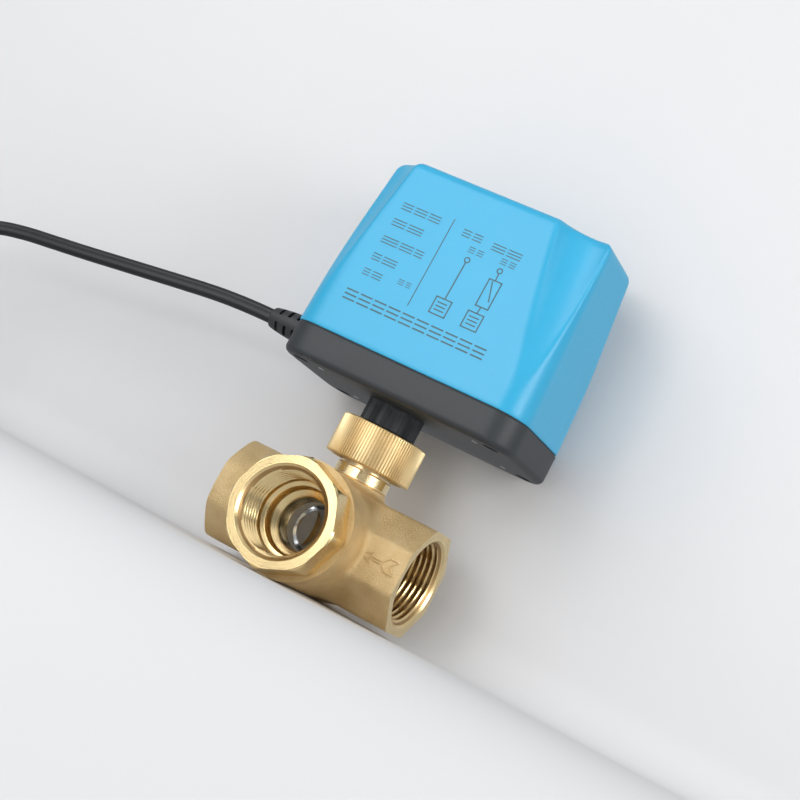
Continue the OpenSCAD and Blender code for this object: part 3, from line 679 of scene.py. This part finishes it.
def scooped(points, corner, height, inset):
    # pushes what stands outside the scoop's hollow back to it, the way the hollow faces
    signs = np.array([(-1, -1), (1, -1), (1, 1), (-1, 1)])[corner]
    backRight, frontLeft = (housing["right"], housing["halfDepth"]), (housing["left"], -housing["halfDepth"])
    sharp = np.where(signs < 0, backRight, frontLeft)
    toSide, toFront, start, slope, drift, radius, middle = np.array(scoop["corners"])[corner].T
    across, along = ((points - sharp) * signs).T
    depth, side = across * toSide + along * toFront, across * toFront - along * toSide
    above = height - scoop["apex"]
    off = np.clip(side - middle - drift * above, -radius, radius)
    floor = start + slope * above + inset - radius + np.sqrt(radius ** 2 - off ** 2)
    moved = smoothMax(floor, depth, scoop["softness"]) - depth
    return points + signs * np.c_[toSide, toFront] * moved[:, None]


def coverRing(height, inset, flat=0.0):
    # flat keeps the scoop's depth where the wall's inside follows the outside
    points, corner = outline(inset + housing["lean"] * (height - housing["coverBottom"]))
    points = scooped(points, corner, height, flat)
    return np.c_[points, np.full(len(points), height)]


def makeCover():
    bottom, top, wall, bend = (housing[k] for k in ("coverBottom", "coverTop", "wall", "topRound"))
    levels = [(bottom, 0.35), (bottom + 0.12, 0.12), (bottom + 0.4, 0)]
    levels += [(z, 0) for z in np.linspace(bottom + 2, top - bend, 46)]
    quarter = np.linspace(0, math.pi / 2, 10)[1:]
    rounding = [(top - bend + bend * math.sin(a), bend - bend * math.cos(a)) for a in quarter]
    rings = [coverRing(z, inset, inset) for z, inset in levels]
    rings += [coverRing(z, inset, inset * 0.8) for z, inset in rounding]
    last = rings[-1]
    middle = np.array(((housing["left"] + housing["right"]) / 2, 0, top))
    rise = housing["crown"]
    crown = []
    for t in (0.04, 0.12, 0.3, 0.6, 0.9):
        crown.append(middle + (last - middle) * (1 - t) + (0, 0, rise * math.sin(t * math.pi / 2)))
    outside = rings + [ring - (0, 0, rise) for ring in crown]
    insideTop = top - wall
    inner = [coverRing(z, wall, wall) for z in np.linspace(bottom, insideTop - 3, 24)]
    inner += [coverRing(insideTop, wall + 3, wall + 3)]
    under = [middle - (0, 0, wall) + (inner[-1] - middle + (0, 0, wall)) * (1 - t) for t in (0.3, 0.9)]
    stack = [outside[k] for k in range(len(outside) - 1, -1, -1)] + inner + under
    around = len(last)
    points = np.vstack(stack)
    faces = loopFaces(len(stack), around, False)
    final = (len(stack) - 1) * around
    faces += [list(range(around))[::-1], [final + k for k in range(around)]]
    return piece("blue_cover", points, faces, materials["cover"], sharp=50)


coverPiece = makeCover()
print("cover made with", len(coverPiece.data.polygons), "faces")


# Black base: a tray with the fluted neck under it

neck = {
    "bottom": 38.8,
    "coreRadius": 10.4,
    "lobeRadius": 2.6,
    "lobeCenter": 9.5,
    "lobes": 8,
    "spoutRadius": 12.1,
    "bore": 8,
    "nutTop": 45.9,
    "ringGroove": (40.2, 41.8, 11.2),
    "screwInset": 8.5,
    "postAt": ((-27, -20), (-27, 20), (41, -20), (41, 20)),
}


def makeBase():
    left, right, wall = housing["left"], housing["right"], housing["wall"]
    bottom, top, bend = housing["bottom"], housing["split"], housing["bottomRound"]

    def tray(height, inset):
        points, _ = outline(inset, 28, 4)
        return np.c_[points, np.full(len(points), height)]

    quarter = np.linspace(0, math.pi / 2, 8)
    curve = [(bottom + bend - bend * math.cos(a), bend - bend * math.sin(a)) for a in quarter]
    rings = [tray(z, inset) for z, inset in curve] + [tray(bottom + 6, 0), tray(top - 0.4, 0), tray(top, 0.35)]
    rings += [tray(top, wall), tray(bottom + 3.5, wall), tray(bottom + 2.5, wall + 1)]
    around = len(rings[0])
    faces = loopFaces(len(rings), around, False)
    final = (len(rings) - 1) * around
    faces += [list(range(around))[::-1], [final + k for k in range(around)]]
    made = piece("black_base", np.vstack(rings), faces, materials["base"])

    def fluted(tag, radius, height, angle):
        turn = (angle * neck["lobes"] / (2 * math.pi) + 0.5) % 1 - 0.5
        off = turn * 2 * math.pi / neck["lobes"]
        reach = neck["lobeRadius"] ** 2 - (neck["lobeCenter"] * np.sin(off)) ** 2
        lobe = neck["lobeCenter"] * np.cos(off) + np.sqrt(np.clip(reach, 0, None))
        return smoothMax(np.where(reach > 0, lobe, 0), radius, 0.5)

    spout, groove = neck["spoutRadius"], neck["ringGroove"]
    foot, nutTop, core = neck["bottom"], neck["nutTop"], neck["coreRadius"]
    profile = [(spout - 0.5, foot), (spout, foot + 0.5), (spout, groove[0]), (groove[2], groove[0])]
    profile += [(groove[2], groove[1]), (spout, groove[1]), (spout, nutTop - 0.3), (spout - 0.3, nutTop)]
    profile += [(core, z, "lobe") for z in np.linspace(nutTop, bottom - 1.2, 6)]
    profile += [(core + 0.3, bottom - 0.5, "lobe"), (core + 0.9, bottom, "lobe")]
    profile += [(core + 0.9, bottom + 1, "lobe"), (10.5, bottom + 1.2), (10.5, 59)]
    combine(made, [solidLathe(profile, 160, fluted)], "UNION")
    inset = neck["screwInset"]
    screwAt = [(x, y) for x in (left + inset, right - inset) for y in (-1, 1)]
    screwAt = [(x, y * (housing["halfDepth"] - inset)) for x, y in screwAt]
    bosses = [cylinderShape((x, y, 0), "up", 4.2, bottom + 1, top - 0.2) for x, y in screwAt]
    bosses += [cylinderShape((x, y, 0), "up", 4, bottom + 1, 60) for x, y in neck["postAt"]]
    for shape in bosses:
        combine(made, [shape], "UNION")
    holes = [cylinderShape((0, 0, 0), "up", neck["bore"], 30, 70, 96)]
    holes += [cylinderShape((x, y, 0), "up", 3.2, bottom - 1, bottom + 3) for x, y in screwAt]
    holes += [cylinderShape((x, y, 0), "up", 1.7, bottom + 2.9, top + 1, 24) for x, y in screwAt]
    holes += [cylinderShape((x, y, 0), "up", 1.6, bottom - 1, 63, 24) for x, y in neck["postAt"]]
    holes += [cylinderShape((left, 0, relief["axisZ"]), "right", 4.4, -1, wall + 1)]
    holes += [boxShape((-31.2, -33, bottom - 1), (-26.8, -30.6, bottom + 0.9))]
    combine(made, holes, "DIFFERENCE")
    clean(made, 35)
    return made, screwAt


basePiece, screwAt = makeBase()
print("base made with", len(basePiece.data.polygons), "faces")


# Valve: a cast body with machined mouths, the front port screwed into its boss, and the bonnet in its neck

valve = {
    "flats": 41,
    "leftReach": 43.5,
    "rightReach": 40,
    "frontReach": 49.5,
    "leftRound": 21.3,  # the left end's corners are turned down to this
    "threadRadius": 16.62,
    "threadHeight": 1.48,
    "threadPitch": 2.309,
    "threadDepth": 16,
    "mouthRadius": 17.7,
    "bore": 10,
    "seatRadius": 13.6,
    "seatBack": 18.5,
    "ballChamber": 16.4,
    "bossRadius": 22.5,
    "bossFront": 37,
    "bossBack": 21,
    "bossLip": (0.4, 1.4),
    "shankRadius": 19.5,
    "neckRadius": 11.2,
    "neckTop": 23.5,
    "chest": (15, 14.5),
    "grain": 0.7,  # the cast shape's grid
    "blend": 3.0,
}


def thread(tag, least, height, angle):
    # thread's hollow at this height; never narrower than the mouth's chamfer
    phase = (height / valve["threadPitch"] - angle / (2 * math.pi)) % 1
    ridge = np.clip(1.3 * (1 - np.abs(2 * phase - 1)) - 0.15, 0, 1)
    return np.maximum(valve["threadRadius"] - valve["threadHeight"] * ridge, least)


def threadRows(mouth, inner):
    # rows of the thread from its mouth inwards, tagged for thread()
    step = valve["threadPitch"] / 8 * (1 if inner > mouth else -1)
    count = int(abs(inner - mouth) / abs(step))
    rows = []
    for k in range(count + 1):
        rows.append((max(valve["mouthRadius"] - abs(k * step), 0.1), mouth + k * step, "thread"))
    return rows + [(valve["threadRadius"], inner + (mouth - inner) * 0.02), (valve["threadRadius"], inner)]


def castShape():
    # distance from the outside of the cast body, on a grid, turned into a mesh
    step = valve["grain"]
    low, high = np.array((-47.0, -40.0, -26.0)), np.array((43.5, 25.0, 27.0))
    x, y, z = np.meshgrid(*[np.arange(a, b, step) for a, b in zip(low, high)], indexing="ij")
    half, soft = valve["flats"] / 2, 0.9
    octagon = smoothMax(np.maximum(np.abs(y), np.abs(z)), (np.abs(y) + np.abs(z)) / math.sqrt(2), soft) - half
    rounded = smoothMax(octagon, np.hypot(y, z) - valve["leftRound"], 1.5)
    octagon = np.where(x < 0, rounded, octagon)
    fromFront = np.hypot(x, z)
    boss = smoothMax(fromFront - valve["bossRadius"], y - valve["bossBack"], 4.0)
    proud, wide = valve["bossLip"]
    lip = np.maximum(fromFront - valve["bossRadius"] - proud, y + valve["bossFront"] - wide)
    boss = smoothMin(boss, lip, 0.4)
    fromStem = np.hypot(x, y)
    neckShape = fromStem - valve["neckRadius"]
    chestZ, chestRadius = valve["chest"]
    slope = (chestRadius - valve["neckRadius"]) / 7
    cone = np.maximum((fromStem - chestRadius + slope * (z - chestZ)) / math.hypot(1, slope), z - 22)
    neckShape = np.maximum(smoothMin(neckShape, cone, 1.0), -z)
    shape = smoothMin(smoothMin(octagon, boss, valve["blend"]), neckShape, 2.2)
    grid = openvdb.FloatGrid(3.0)
    grid.copyFromArray(np.ascontiguousarray(np.clip(shape, -3, 3), np.float32))
    points, triangles, quads = grid.convertToPolygons(0.0, 0.0)
    return points * step + low, [f[::-1] for f in quads.tolist()] + [f[::-1] for f in triangles.tolist()]


def slicedFlat(target, planes):
    # machines a flat at each plane: what lies past it is cut off and the cut closed
    work = bmesh.new()
    work.from_mesh(target.data)
    for point, outward in planes:
        everything = work.verts[:] + work.edges[:] + work.faces[:]
        cut = bmesh.ops.bisect_plane(work, geom=everything, plane_co=Vector(point) * mm, plane_no=outward,
                                     clear_outer=True)["geom_cut"]
        rim = [edge for edge in cut if isinstance(edge, bmesh.types.BMEdge)]
        bmesh.ops.contextual_create(work, geom=rim)
    work.to_mesh(target.data)
    work.free()


arrow = {
    "middle": 0.8,
    "bead": 0.36,
    # one half, from the tip to the fork of the tail
    "half": ((22.8, 0.8), (27.0, -1.5), (26.7, 0.25), (31.4, 0.25), (33.6, -1.9), (37.3, -1.9), (34.4, 0.8)),
}


def arrowBeads():
    # flow arrow with a fletched tail, as a raised outline on the front flat
    half = [np.array(p) for p in arrow["half"]]
    middle = arrow["middle"]
    outlinePoints = half + [np.array((x, 2 * middle - z)) for x, z in reversed(half[1:-1])]
    ring = np.array(outlinePoints + [outlinePoints[0], outlinePoints[1]])
    path = []
    for a, b in zip(ring[:-1], ring[1:]):
        path += [a + (b - a) * t for t in (0.0, 0.08, 0.35, 0.65, 0.92)]
    path = np.array(path[:-5])
    path = (np.roll(path, 1, axis=0) + 2 * path + np.roll(path, -1, axis=0)) / 4
    level = -valve["flats"] / 2 - 0.12
    path = np.c_[path[:, 0], np.full(len(path), level), path[:, 1]]
    count = len(path)
    ahead = np.roll(path, -1, axis=0) - np.roll(path, 1, axis=0)
    ahead /= np.linalg.norm(ahead, axis=1)[:, None]
    side = np.cross(ahead, (0, 1, 0))
    outwards = np.array((0, 1, 0))
    points = []
    for k in range(count):
        for a in np.arange(8) * math.pi / 4:
            points.append(path[k] + arrow["bead"] * (side[k] * math.cos(a) + outwards * math.sin(a) * 0.9))
    return points, loopFaces(count, 8, True)


def makeValveBody():
    made = piece("cast_body", *castShape(), materials["cast"], sharp=40)
    left, right = -valve["leftReach"], valve["rightReach"]
    slicedFlat(made, [((left, 0, 0), (-1, 0, 0)), ((right, 0, 0), (1, 0, 0)),
                      ((0, -valve["bossFront"], 0), (0, -1, 0)), ((0, 0, valve["neckTop"]), (0, 0, 1))])
    depth, seat = valve["threadDepth"], valve["seatBack"]
    way = [(valve["mouthRadius"] + 1, right + 1)] + threadRows(right, right - depth)
    way += [(valve["bore"], right - depth), (valve["bore"], seat), (valve["seatRadius"], seat)]
    way += [(valve["seatRadius"], -seat), (valve["bore"], -seat), (valve["bore"], left + depth)]
    way += threadRows(left, left + depth)[::-1] + [(valve["mouthRadius"] + 1, left - 1)]
    points, faces = solidLathe(way, 128, thread)
    front = [(valve["ballChamber"], -17), (valve["ballChamber"], 18.4), (valve["shankRadius"], 18.4)]
    front += [(valve["shankRadius"], valve["bossFront"] + 1)]
    pocket, pocketFaces = solidLathe(front, 96)
    stemHole = [(6.9, 0), (6.9, 19.3), (8, 19.3), (8, 30)]
    combine(made, [(turned(points, "right"), faces), (turned(pocket, "front"), pocketFaces),
                   solidLathe(stemHole, 64)], "DIFFERENCE")
    clean(made, 40)
    beads = piece("beads", *arrowBeads(), materials["cast"], sharp=60)
    made.data.materials.append(materials["turnedX"])
    made.data.materials.append(materials["paintedRootShade"])
    # faces deep in the thread roots take the painted root shade; the ends, the mouths and the neck top take
    # machined brass
    for face in made.data.polygons:
        x, y, z = face.center / mm
        atEnd = x < left + 0.02 or x > right - 0.02
        inside = math.hypot(y, z) < valve["mouthRadius"] + 0.03 and abs(x) > seat
        inShadedRoot = inside and math.hypot(y, z) > valve["threadRadius"] - 0.62 and abs(x) < abs(right) - 1
        face.material_index = 2 if inShadedRoot else 1 if atEnd or inside or z > valve["neckTop"] - 0.02 else 0
    work = bmesh.new()
    work.from_mesh(made.data)
    work.from_mesh(beads.data)
    work.to_mesh(made.data)
    work.free()
    bpy.data.objects.remove(beads)
    finishShading(made.data, 40)
    return made


bodyPiece = makeValveBody()
print("cast body made with", len(bodyPiece.data.polygons), "faces")


def octagonAt(angle):
    return valve["flats"] / 2 / np.cos((angle % (math.pi / 4)) - math.pi / 8)


def makeAdapter():
    # one closed outline, from the octagon's face in through the thread and back along the shank
    face, back = valve["frontReach"], valve["bossFront"]
    inner = face - valve["threadDepth"]
    corner = float(octagonAt(0.0))

    def shaped(tag, radius, height, angle):
        return thread(tag, radius, height, angle) if tag == "thread" else np.minimum(octagonAt(angle), radius)

    way = [(corner - 0.5, back, "oct"), (corner, back + 0.8, "oct"), (corner, face - 1.9, "oct")]
    way += [(corner - 0.55, face - 0.7, "oct"), (corner - 1.25, face, "oct")]
    way += threadRows(face, inner)
    way += [(14.9, inner), (14.9, inner - 0.9), (14.3, inner - 1.3), (13.4, inner - 1.6), (13.0, inner - 2.2)]
    bore, seat, seatRadius = valve["bore"], valve["seatBack"], valve["seatRadius"]
    way += [(13.0, 28.6), (12.7, 27.9), (12.0, 27.5), (10.7, 27.0), (10.2, 26.6), (bore, 26.0)]
    way += [(bore, seat), (seatRadius, seat), (seatRadius, 14)]
    way += [(valve["ballChamber"], 14), (valve["ballChamber"], 20), (valve["shankRadius"], 20)]
    way += [(valve["shankRadius"], back)]
    points, faces = lathe(way, 192, shaped)
    made = piece("front_port", turned(points, "front"), faces, materials["turnedY"], sharp=28)
    made.data.materials.append(materials["paintedRootShade"])
    # faces deep in the thread roots take the painted root shade
    for polygon in made.data.polygons:
        x, y, z = polygon.center / mm
        inThread = inner < -y < face - 1 and math.hypot(x, z) < valve["threadRadius"] + 0.1
        polygon.material_index = int(inThread and math.hypot(x, z) > valve["threadRadius"] - 0.62)
    return made


adapterPiece = makeAdapter()

bonnet = {
    "bore": 4.55,
    "flangeRadius": 11.2,
    "flangeTop": 28.2,
    "radius": 10,
    "threadFoot": 30.8,
    "threadFrom": 31.4,
    "threadRadius": 13.45,
    "threadPitch": 0.75,
    "top": 38.5,
    "notches": 8,
    "notch": (3.6, 1.7),  # width and depth
}


def makeBonnet():
    flange, top, threadRadius = bonnet["flangeRadius"], bonnet["flangeTop"], bonnet["threadRadius"]
    bore, waist, end = bonnet["bore"], bonnet["radius"], bonnet["top"]
    way = [(bore, 19.3), (7.6, 19.3), (8, 19.7), (8, 23.5), (flange - 0.4, 23.5), (flange, 23.9)]
    way += [(flange, top - 0.5), (flange - 0.5, top), (waist, top + 0.1), (waist, bonnet["threadFoot"])]
    for z in np.arange(bonnet["threadFrom"], end - 0.6, bonnet["threadPitch"]):
        way += [(threadRadius - 0.6, z), (threadRadius, z + bonnet["threadPitch"] / 2)]
    way += [(threadRadius - 0.6, end - 0.3), (threadRadius - 0.9, end), (bore, end)]
    made = piece("castellated_bonnet", *lathe(way, 128), materials["turnedZ"])
    wide, deep = bonnet["notch"]
    notches = []
    for k in range(bonnet["notches"]):
        points, faces = boxShape((flange - deep, -wide / 2, 24.4), (flange + 2, wide / 2, top + 0.02))
        turn = Matrix.Rotation(math.radians(22.5 + k * 360 / bonnet["notches"]), 3, "Z")
        notches.append((np.array(points) @ np.array(turn.transposed()), faces))
    combine(made, [joined(notches)], "DIFFERENCE")
    clean(made, 30)
    return made


bonnetPiece = makeBonnet()

nut = {
    "bottom": 29.5,
    "height": 15.8,
    "radius": 17.3,
    "ridges": 90,
    "ridgeHeight": 0.75,
    "ridgeWidth": 0.72,
    "bore": 13.5,
    "lipBore": 12.4,
    "recess": (9.3, 12.7, 14.3),  # from, to and radius of the room for the retaining ring
    "threadPitch": 0.75,
}


def repeatedRound(target, shape, count, radius, height, material):
    # Geometry Nodes: the shape is set on the points of a circle, joined to the target's own mesh
    tree = bpy.data.node_groups.new("repeatRound", "GeometryNodeTree")
    kinds = {"Body": "Geometry", "Shape": "Object", "Count": "Int", "Radius": "Float", "Height": "Float",
             "Finish": "Material"}
    sockets = {}
    for label, kind in kinds.items():
        sockets[label] = tree.interface.new_socket(label, in_out="INPUT", socket_type="NodeSocket" + kind)
    tree.interface.new_socket("Result", in_out="OUTPUT", socket_type="NodeSocketGeometry")
    given = tree.nodes.new("NodeGroupInput")
    circle = tree.nodes.new("GeometryNodeMeshCircle")
    lift = tree.nodes.new("GeometryNodeTransform")
    upwards = tree.nodes.new("ShaderNodeCombineXYZ")
    source = tree.nodes.new("GeometryNodeObjectInfo")
    instances = tree.nodes.new("GeometryNodeInstanceOnPoints")
    index = tree.nodes.new("GeometryNodeInputIndex")
    turn = tree.nodes.new("ShaderNodeMath")
    turn.operation = "MULTIPLY"
    turn.inputs[1].default_value = 2 * math.pi / count
    spin = tree.nodes.new("ShaderNodeCombineXYZ")
    realize = tree.nodes.new("GeometryNodeRealizeInstances")
    finish = tree.nodes.new("GeometryNodeSetMaterial")
    join = tree.nodes.new("GeometryNodeJoinGeometry")
    result = tree.nodes.new("NodeGroupOutput")
    for start, end in (
            (given.outputs["Count"], circle.inputs["Vertices"]),
            (given.outputs["Radius"], circle.inputs["Radius"]),
            (circle.outputs["Mesh"], lift.inputs["Geometry"]),
            (given.outputs["Height"], upwards.inputs["Z"]),
            (upwards.outputs["Vector"], lift.inputs["Translation"]),
            (lift.outputs["Geometry"], instances.inputs["Points"]),
            (given.outputs["Shape"], source.inputs["Object"]),
            (source.outputs["Geometry"], instances.inputs["Instance"]),
            (index.outputs["Index"], turn.inputs[0]),
            (turn.outputs["Value"], spin.inputs["Z"]),
            (spin.outputs["Vector"], instances.inputs["Rotation"]),
            (instances.outputs["Instances"], join.inputs["Geometry"]),
            (given.outputs["Body"], join.inputs["Geometry"]),
            (join.outputs["Geometry"], realize.inputs["Geometry"]),
            (realize.outputs["Geometry"], finish.inputs["Geometry"]),
            (given.outputs["Finish"], finish.inputs["Material"]),
            (finish.outputs["Geometry"], result.inputs["Result"])):
        tree.links.new(start, end)
    change = target.modifiers.new("repeatRound", "NODES")
    change.node_group = tree
    values = {"Shape": shape, "Count": count, "Radius": radius * mm, "Height": height * mm, "Finish": material}
    for label, value in values.items():
        change[sockets[label].identifier] = value
    apply(target)
    bpy.data.objects.remove(shape)


def makeNut():
    bottom, top, r = nut["bottom"], nut["bottom"] + nut["height"], nut["radius"]
    root = r - nut["ridgeHeight"]
    lip, pitch, (low, high, room) = nut["lipBore"], nut["threadPitch"], nut["recess"]
    way = [(14.6, bottom), (root - 0.5, bottom), (root, bottom + 0.5), (root, top - 0.5), (root - 0.6, top)]
    way += [(lip + 0.5, top), (lip, top - 0.4), (lip, bottom + high), (room, bottom + high), (room, bottom + low)]
    for z in np.arange(bottom + 8.9, bottom + 1.4, -pitch):
        way += [(nut["bore"] + 0.5, z), (nut["bore"], z - pitch / 2)]
    way += [(14.6, bottom + 1)]
    made = piece("knurled_nut", *lathe(way, 180), materials["nut"])
    tall, wide = nut["ridgeHeight"], nut["ridgeWidth"]
    side = [(-0.2, -0.5), (0.35, -0.5), (0.8, -0.33), (1.0, 0.0), (0.8, 0.33), (0.35, 0.5), (-0.2, 0.5)]
    levels = [(0.15, 0.2), (0.5, 1.0), (nut["height"] - 0.6, 1.0), (nut["height"] - 0.2, 0.3)]
    points = [(x * tall * s, y * wide, z) for z, s in levels for x, y in side]
    faces = loopFaces(len(levels), len(side), False)
    last = (len(levels) - 1) * len(side)
    faces += [list(range(len(side)))[::-1], [last + k for k in range(len(side))]]
    ridge = piece("ridge", points, faces, materials["nut"], sharp=60)
    repeatedRound(made, ridge, nut["ridges"], root, bottom, materials["nut"])
    finishShading(made.data, 40)
    return made


nutPiece = makeNut()
print("front port, bonnet and nut made")


def makeScrews():
    # cross-recessed heads deep in the base's four corners
    parts = []
    for x, y in screwAt:
        z = housing["bottom"] + 1.2
        shank = [(1.45, z + 20.4), (1.5, z + 20), (1.5, z + 1.8)]
        head = shank + [(2.9, z + 1.8), (2.9, z + 0.7), (2.5, z + 0.2), (1.7, z)]
        points, faces = solidLathe(head, 40)
        parts.append((points + (x, y, 0), faces))
    made = piece("corner_screws", *joined(parts), bodySurface["screw_steel"])
    crosses = []
    for x, y in screwAt:
        z = housing["bottom"] + 1.2
        crosses.append(boxShape((x - 0.4, y - 1.6, z - 1), (x + 0.4, y + 1.6, z + 0.9)))
        crosses.append(boxShape((x - 1.6, y - 0.4, z - 1), (x + 1.6, y + 0.4, z + 0.9)))
    for half in (crosses[::2], crosses[1::2]):
        combine(made, [joined(half)], "DIFFERENCE")
    clean(made, 30)
    return made


screwsPiece = makeScrews()

# Print on the cover's front: a plain wiring diagram, with short bars where words would be

diagram = {
    "ink": 0.5,  # line width
    "thick": 0.05,
    "divider": ((-2.6, 125), (-2.6, 88)),
    "wires": (((9.5, 111.4), (9.3, 95.8)), ((23.1, 112.4), (23.3, 109.5)), ((23.3, 98.5), (23, 95.8))),
    "circles": ((9.6, 112.5), (23, 113.5)),
    "terminals": ((9.2, 92.5), (22.8, 92.5)),
    "terminal": 6.5,
    "switch": ((20.9, 98.5), (26.1, 109.5)),
    "blade": ((22.4, 109.0), (24.9, 101.2)),
    "bars": (
        # left end, height, widths of the words in that row, how tall they are
        (-24.2, 122.0, (5.6, 6.2, 6.0), 3.0),
        (-24.6, 115.0, (6.8, 7.4), 3.0),
        (-25.0, 107.4, (8.0, 6.6, 4.6), 3.0),
        (-25.0, 100.0, (4.6, 7.0), 3.0),
        (-25.4, 93.4, (4.0, 5.2), 2.8),
        (-10.6, 95.0, (3.4, 3.0), 2.2),
        (2.6, 121.6, (4.6, 4.8), 3.0),
        (15.6, 121.0, (6.6, 6.8), 3.0),
        (8.0, 116.6, (3.6, 3.6), 2.4),
        (21.4, 117.2, (3.6, 3.6), 2.4),
        (-27.6, 83.0, (6.2, 6.2, 6.2, 6.2, 6.2, 6.2, 6.2, 6.2, 6.2, 6.0), 4.6),
    ),
}


def makePrint():
    parts = []
    width, thick = diagram["ink"], diagram["thick"]

    def onCover(points):
        # x across the front and z up it, lifted onto the leaning face
        points = np.asarray(points, float)
        lift = -housing["halfDepth"] + housing["lean"] * (points[:, 2] - housing["coverBottom"])
        return np.c_[points[:, 0], lift + points[:, 1], points[:, 2]]

    def stroke(a, b, w=width):
        a, b = np.array(a, float), np.array(b, float)
        along = (b - a) / np.linalg.norm(b - a)
        side = np.array((-along[1], along[0])) * w / 2
        corners = [a - side, b - side, b + side, a + side]
        points = [(x, level, z) for level in (-thick, 0.02) for x, z in corners]
        around = [(k, k + 4, (k + 1) % 4 + 4, (k + 1) % 4) for k in range(4)]
        parts.append((onCover(points), [(0, 1, 2, 3), (7, 6, 5, 4)] + around))

    def frameOf(low, high):
        (x0, z0), (x1, z1) = low, high
        e = width / 2
        for z in (z0, z1):
            stroke((x0 - e, z), (x1 + e, z))
        for x in (x0, x1):
            stroke((x, z0), (x, z1))

    stroke(*diagram["divider"], 0.35)
    for wire in diagram["wires"]:
        stroke(*wire)
    for x, z in diagram["circles"]:
        ring = [(x + math.cos(a), z + math.sin(a)) for a in np.linspace(0, 2 * math.pi, 17)]
        for a, b in zip(ring[:-1], ring[1:]):
            stroke(a, b, 0.5)
    half = diagram["terminal"] / 2
    for x, z in diagram["terminals"]:
        frameOf((x - half, z - half), (x + half, z + half))
        for row in (-1.5, 0, 1.5):
            stroke((x - half + 1.2, z + row), (x + half - 1.2, z + row), 0.5)
    frameOf(*diagram["switch"])
    stroke(*diagram["blade"])
    for x, z, lengths, tall in diagram["bars"]:
        for length in lengths:
            for level in (-0.4, 0, 0.4):
                stroke((x, z + level * tall), (x + length - 1, z + level * tall), tall * 0.13)
            x += length
    return piece("cover_print", *joined(parts), materials["ink"], sharp=30)


printPiece = makePrint()
print("screws and print made")


# Plain studio: a pale wall close behind, a pale floor, and large soft lights

studio = {
    "floor": -22.9,
    "wall": 34,
    "cove": 20,
    "paint": (0.66, 0.66, 0.667),
    "front": 0.26,  # light of the air in front of the object, and behind it
    "behind": 0.66,
    "lights": (
        # name, place, aim, size, watts
        ("key", (-420, -640, 400), (10, 0, 40), 600, 3.0),
        ("low", (-120, -760, 150), (10, 0, 20), 330, 1.4),
        ("top", (30, -560, 700), (10, 0, 40), 800, 1.7),
        ("side", (760, -330, 260), (30, 0, 80), 420, 3.6),
    ),
}


def makeStudio(setup):
    paint, tree, shader = startMaterial("palePaint", 0.8)
    soft = noise(tree, place(tree), 3, 2)
    tinted(tree, shader, soft, [(0.3, tuple(c * 0.985 for c in setup["paint"])), (0.7, setup["paint"])])
    facing = tree.nodes.new("ShaderNodeNewGeometry")
    clear = tree.nodes.new("ShaderNodeBsdfTransparent")
    oneWay = tree.nodes.new("ShaderNodeMixShader")  # clear from its far side, so the back can be looked at
    tree.links.new(facing.outputs["Backfacing"], oneWay.inputs["Fac"])
    tree.links.new(shader.outputs["BSDF"], oneWay.inputs[1])
    tree.links.new(clear.outputs["BSDF"], oneWay.inputs[2])
    tree.links.new(oneWay.outputs["Shader"], tree.nodes["Material Output"].inputs["Surface"])
    size, bend = 2500, setup["cove"]
    upright = list(arc((setup["wall"] - bend, setup["floor"] + bend), bend, -90, 0, 12))
    upright += [(setup["wall"], size)]
    ground = [(-size, setup["floor"]), (size, setup["floor"])]
    for name, side in (("studio_floor", ground), ("studio_wall", upright)):
        points = [(x, y, z) for y, z in side for x in (-size, size)]
        faces = [(2 * k, 2 * k + 1, 2 * k + 3, 2 * k + 2) for k in range(len(side) - 1)]
        sheet = piece(name, points, faces, paint, fixNormals=False)
    sheet.visible_shadow = False  # the wall keeps no light off the back
    sheet.visible_diffuse = False
    sheet.visible_glossy = False
    for name, at, aim, size, watts in setup["lights"]:
        light = bpy.data.lights.new(name, "AREA")
        light.size = size * mm
        light.energy = watts
        rig = bpy.data.objects.new(name, light)
        rig.location = Vector(at) * mm
        rig.rotation_euler = (Vector(aim) - Vector(at)).to_track_quat("-Z", "Y").to_euler()
        scene.collection.objects.link(rig)
    world = bpy.data.worlds.new("studioAir")
    world.use_nodes = True
    air = world.node_tree
    air.nodes["Background"].inputs["Color"].default_value = (0.95, 0.97, 1.0, 1)
    direction = air.nodes.new("ShaderNodeTexCoord")
    split = air.nodes.new("ShaderNodeSeparateXYZ")
    glow = air.nodes.new("ShaderNodeMapRange")  # brighter behind the object than in front of it
    for end, way, strength in (("Min", -0.2, setup["front"]), ("Max", 0.3, setup["behind"])):
        glow.inputs["From " + end].default_value = way
        glow.inputs["To " + end].default_value = strength
    air.links.new(direction.outputs["Generated"], split.inputs["Vector"])
    air.links.new(split.outputs["Y"], glow.inputs["Value"])
    air.links.new(glow.outputs["Result"], air.nodes["Background"].inputs["Strength"])
    scene.world = world


makeStudio(studio)
print("studio made")


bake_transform(leadPiece)
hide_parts("lead_cord", "lead_coil", "lead_tail")
for rider, body, stands, slot in (
        (reliefPiece, "actuator", "strain_relief", "gland_black"),
        (tiePiece, "valve", "lead_tie", "tie_black"),
        (coreInsulation, "valve", "lead_cores", "core_wires"),
        (coreCopper, "valve", "lead_cores", "core_wires"),
        (coverPiece, "actuator", "cover", "blue_cover"),
        (basePiece, "actuator", "base_housing", "black_base"),
        (bodyPiece, "valve", "valve_body", "cast_brass"),
        (adapterPiece, "valve", "port_adapter", "machined_brass"),
        (bonnetPiece, "valve", "valve_bonnet", "machined_brass"),
        (nutPiece, "union_nut", "union_nut", "brass_nut"),
        (screwsPiece, "actuator", "cover_screws", "screw_steel"),
        (printPiece, "actuator", None, "blue_cover")):
    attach(rider, body)
    if stands:
        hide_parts(stands)
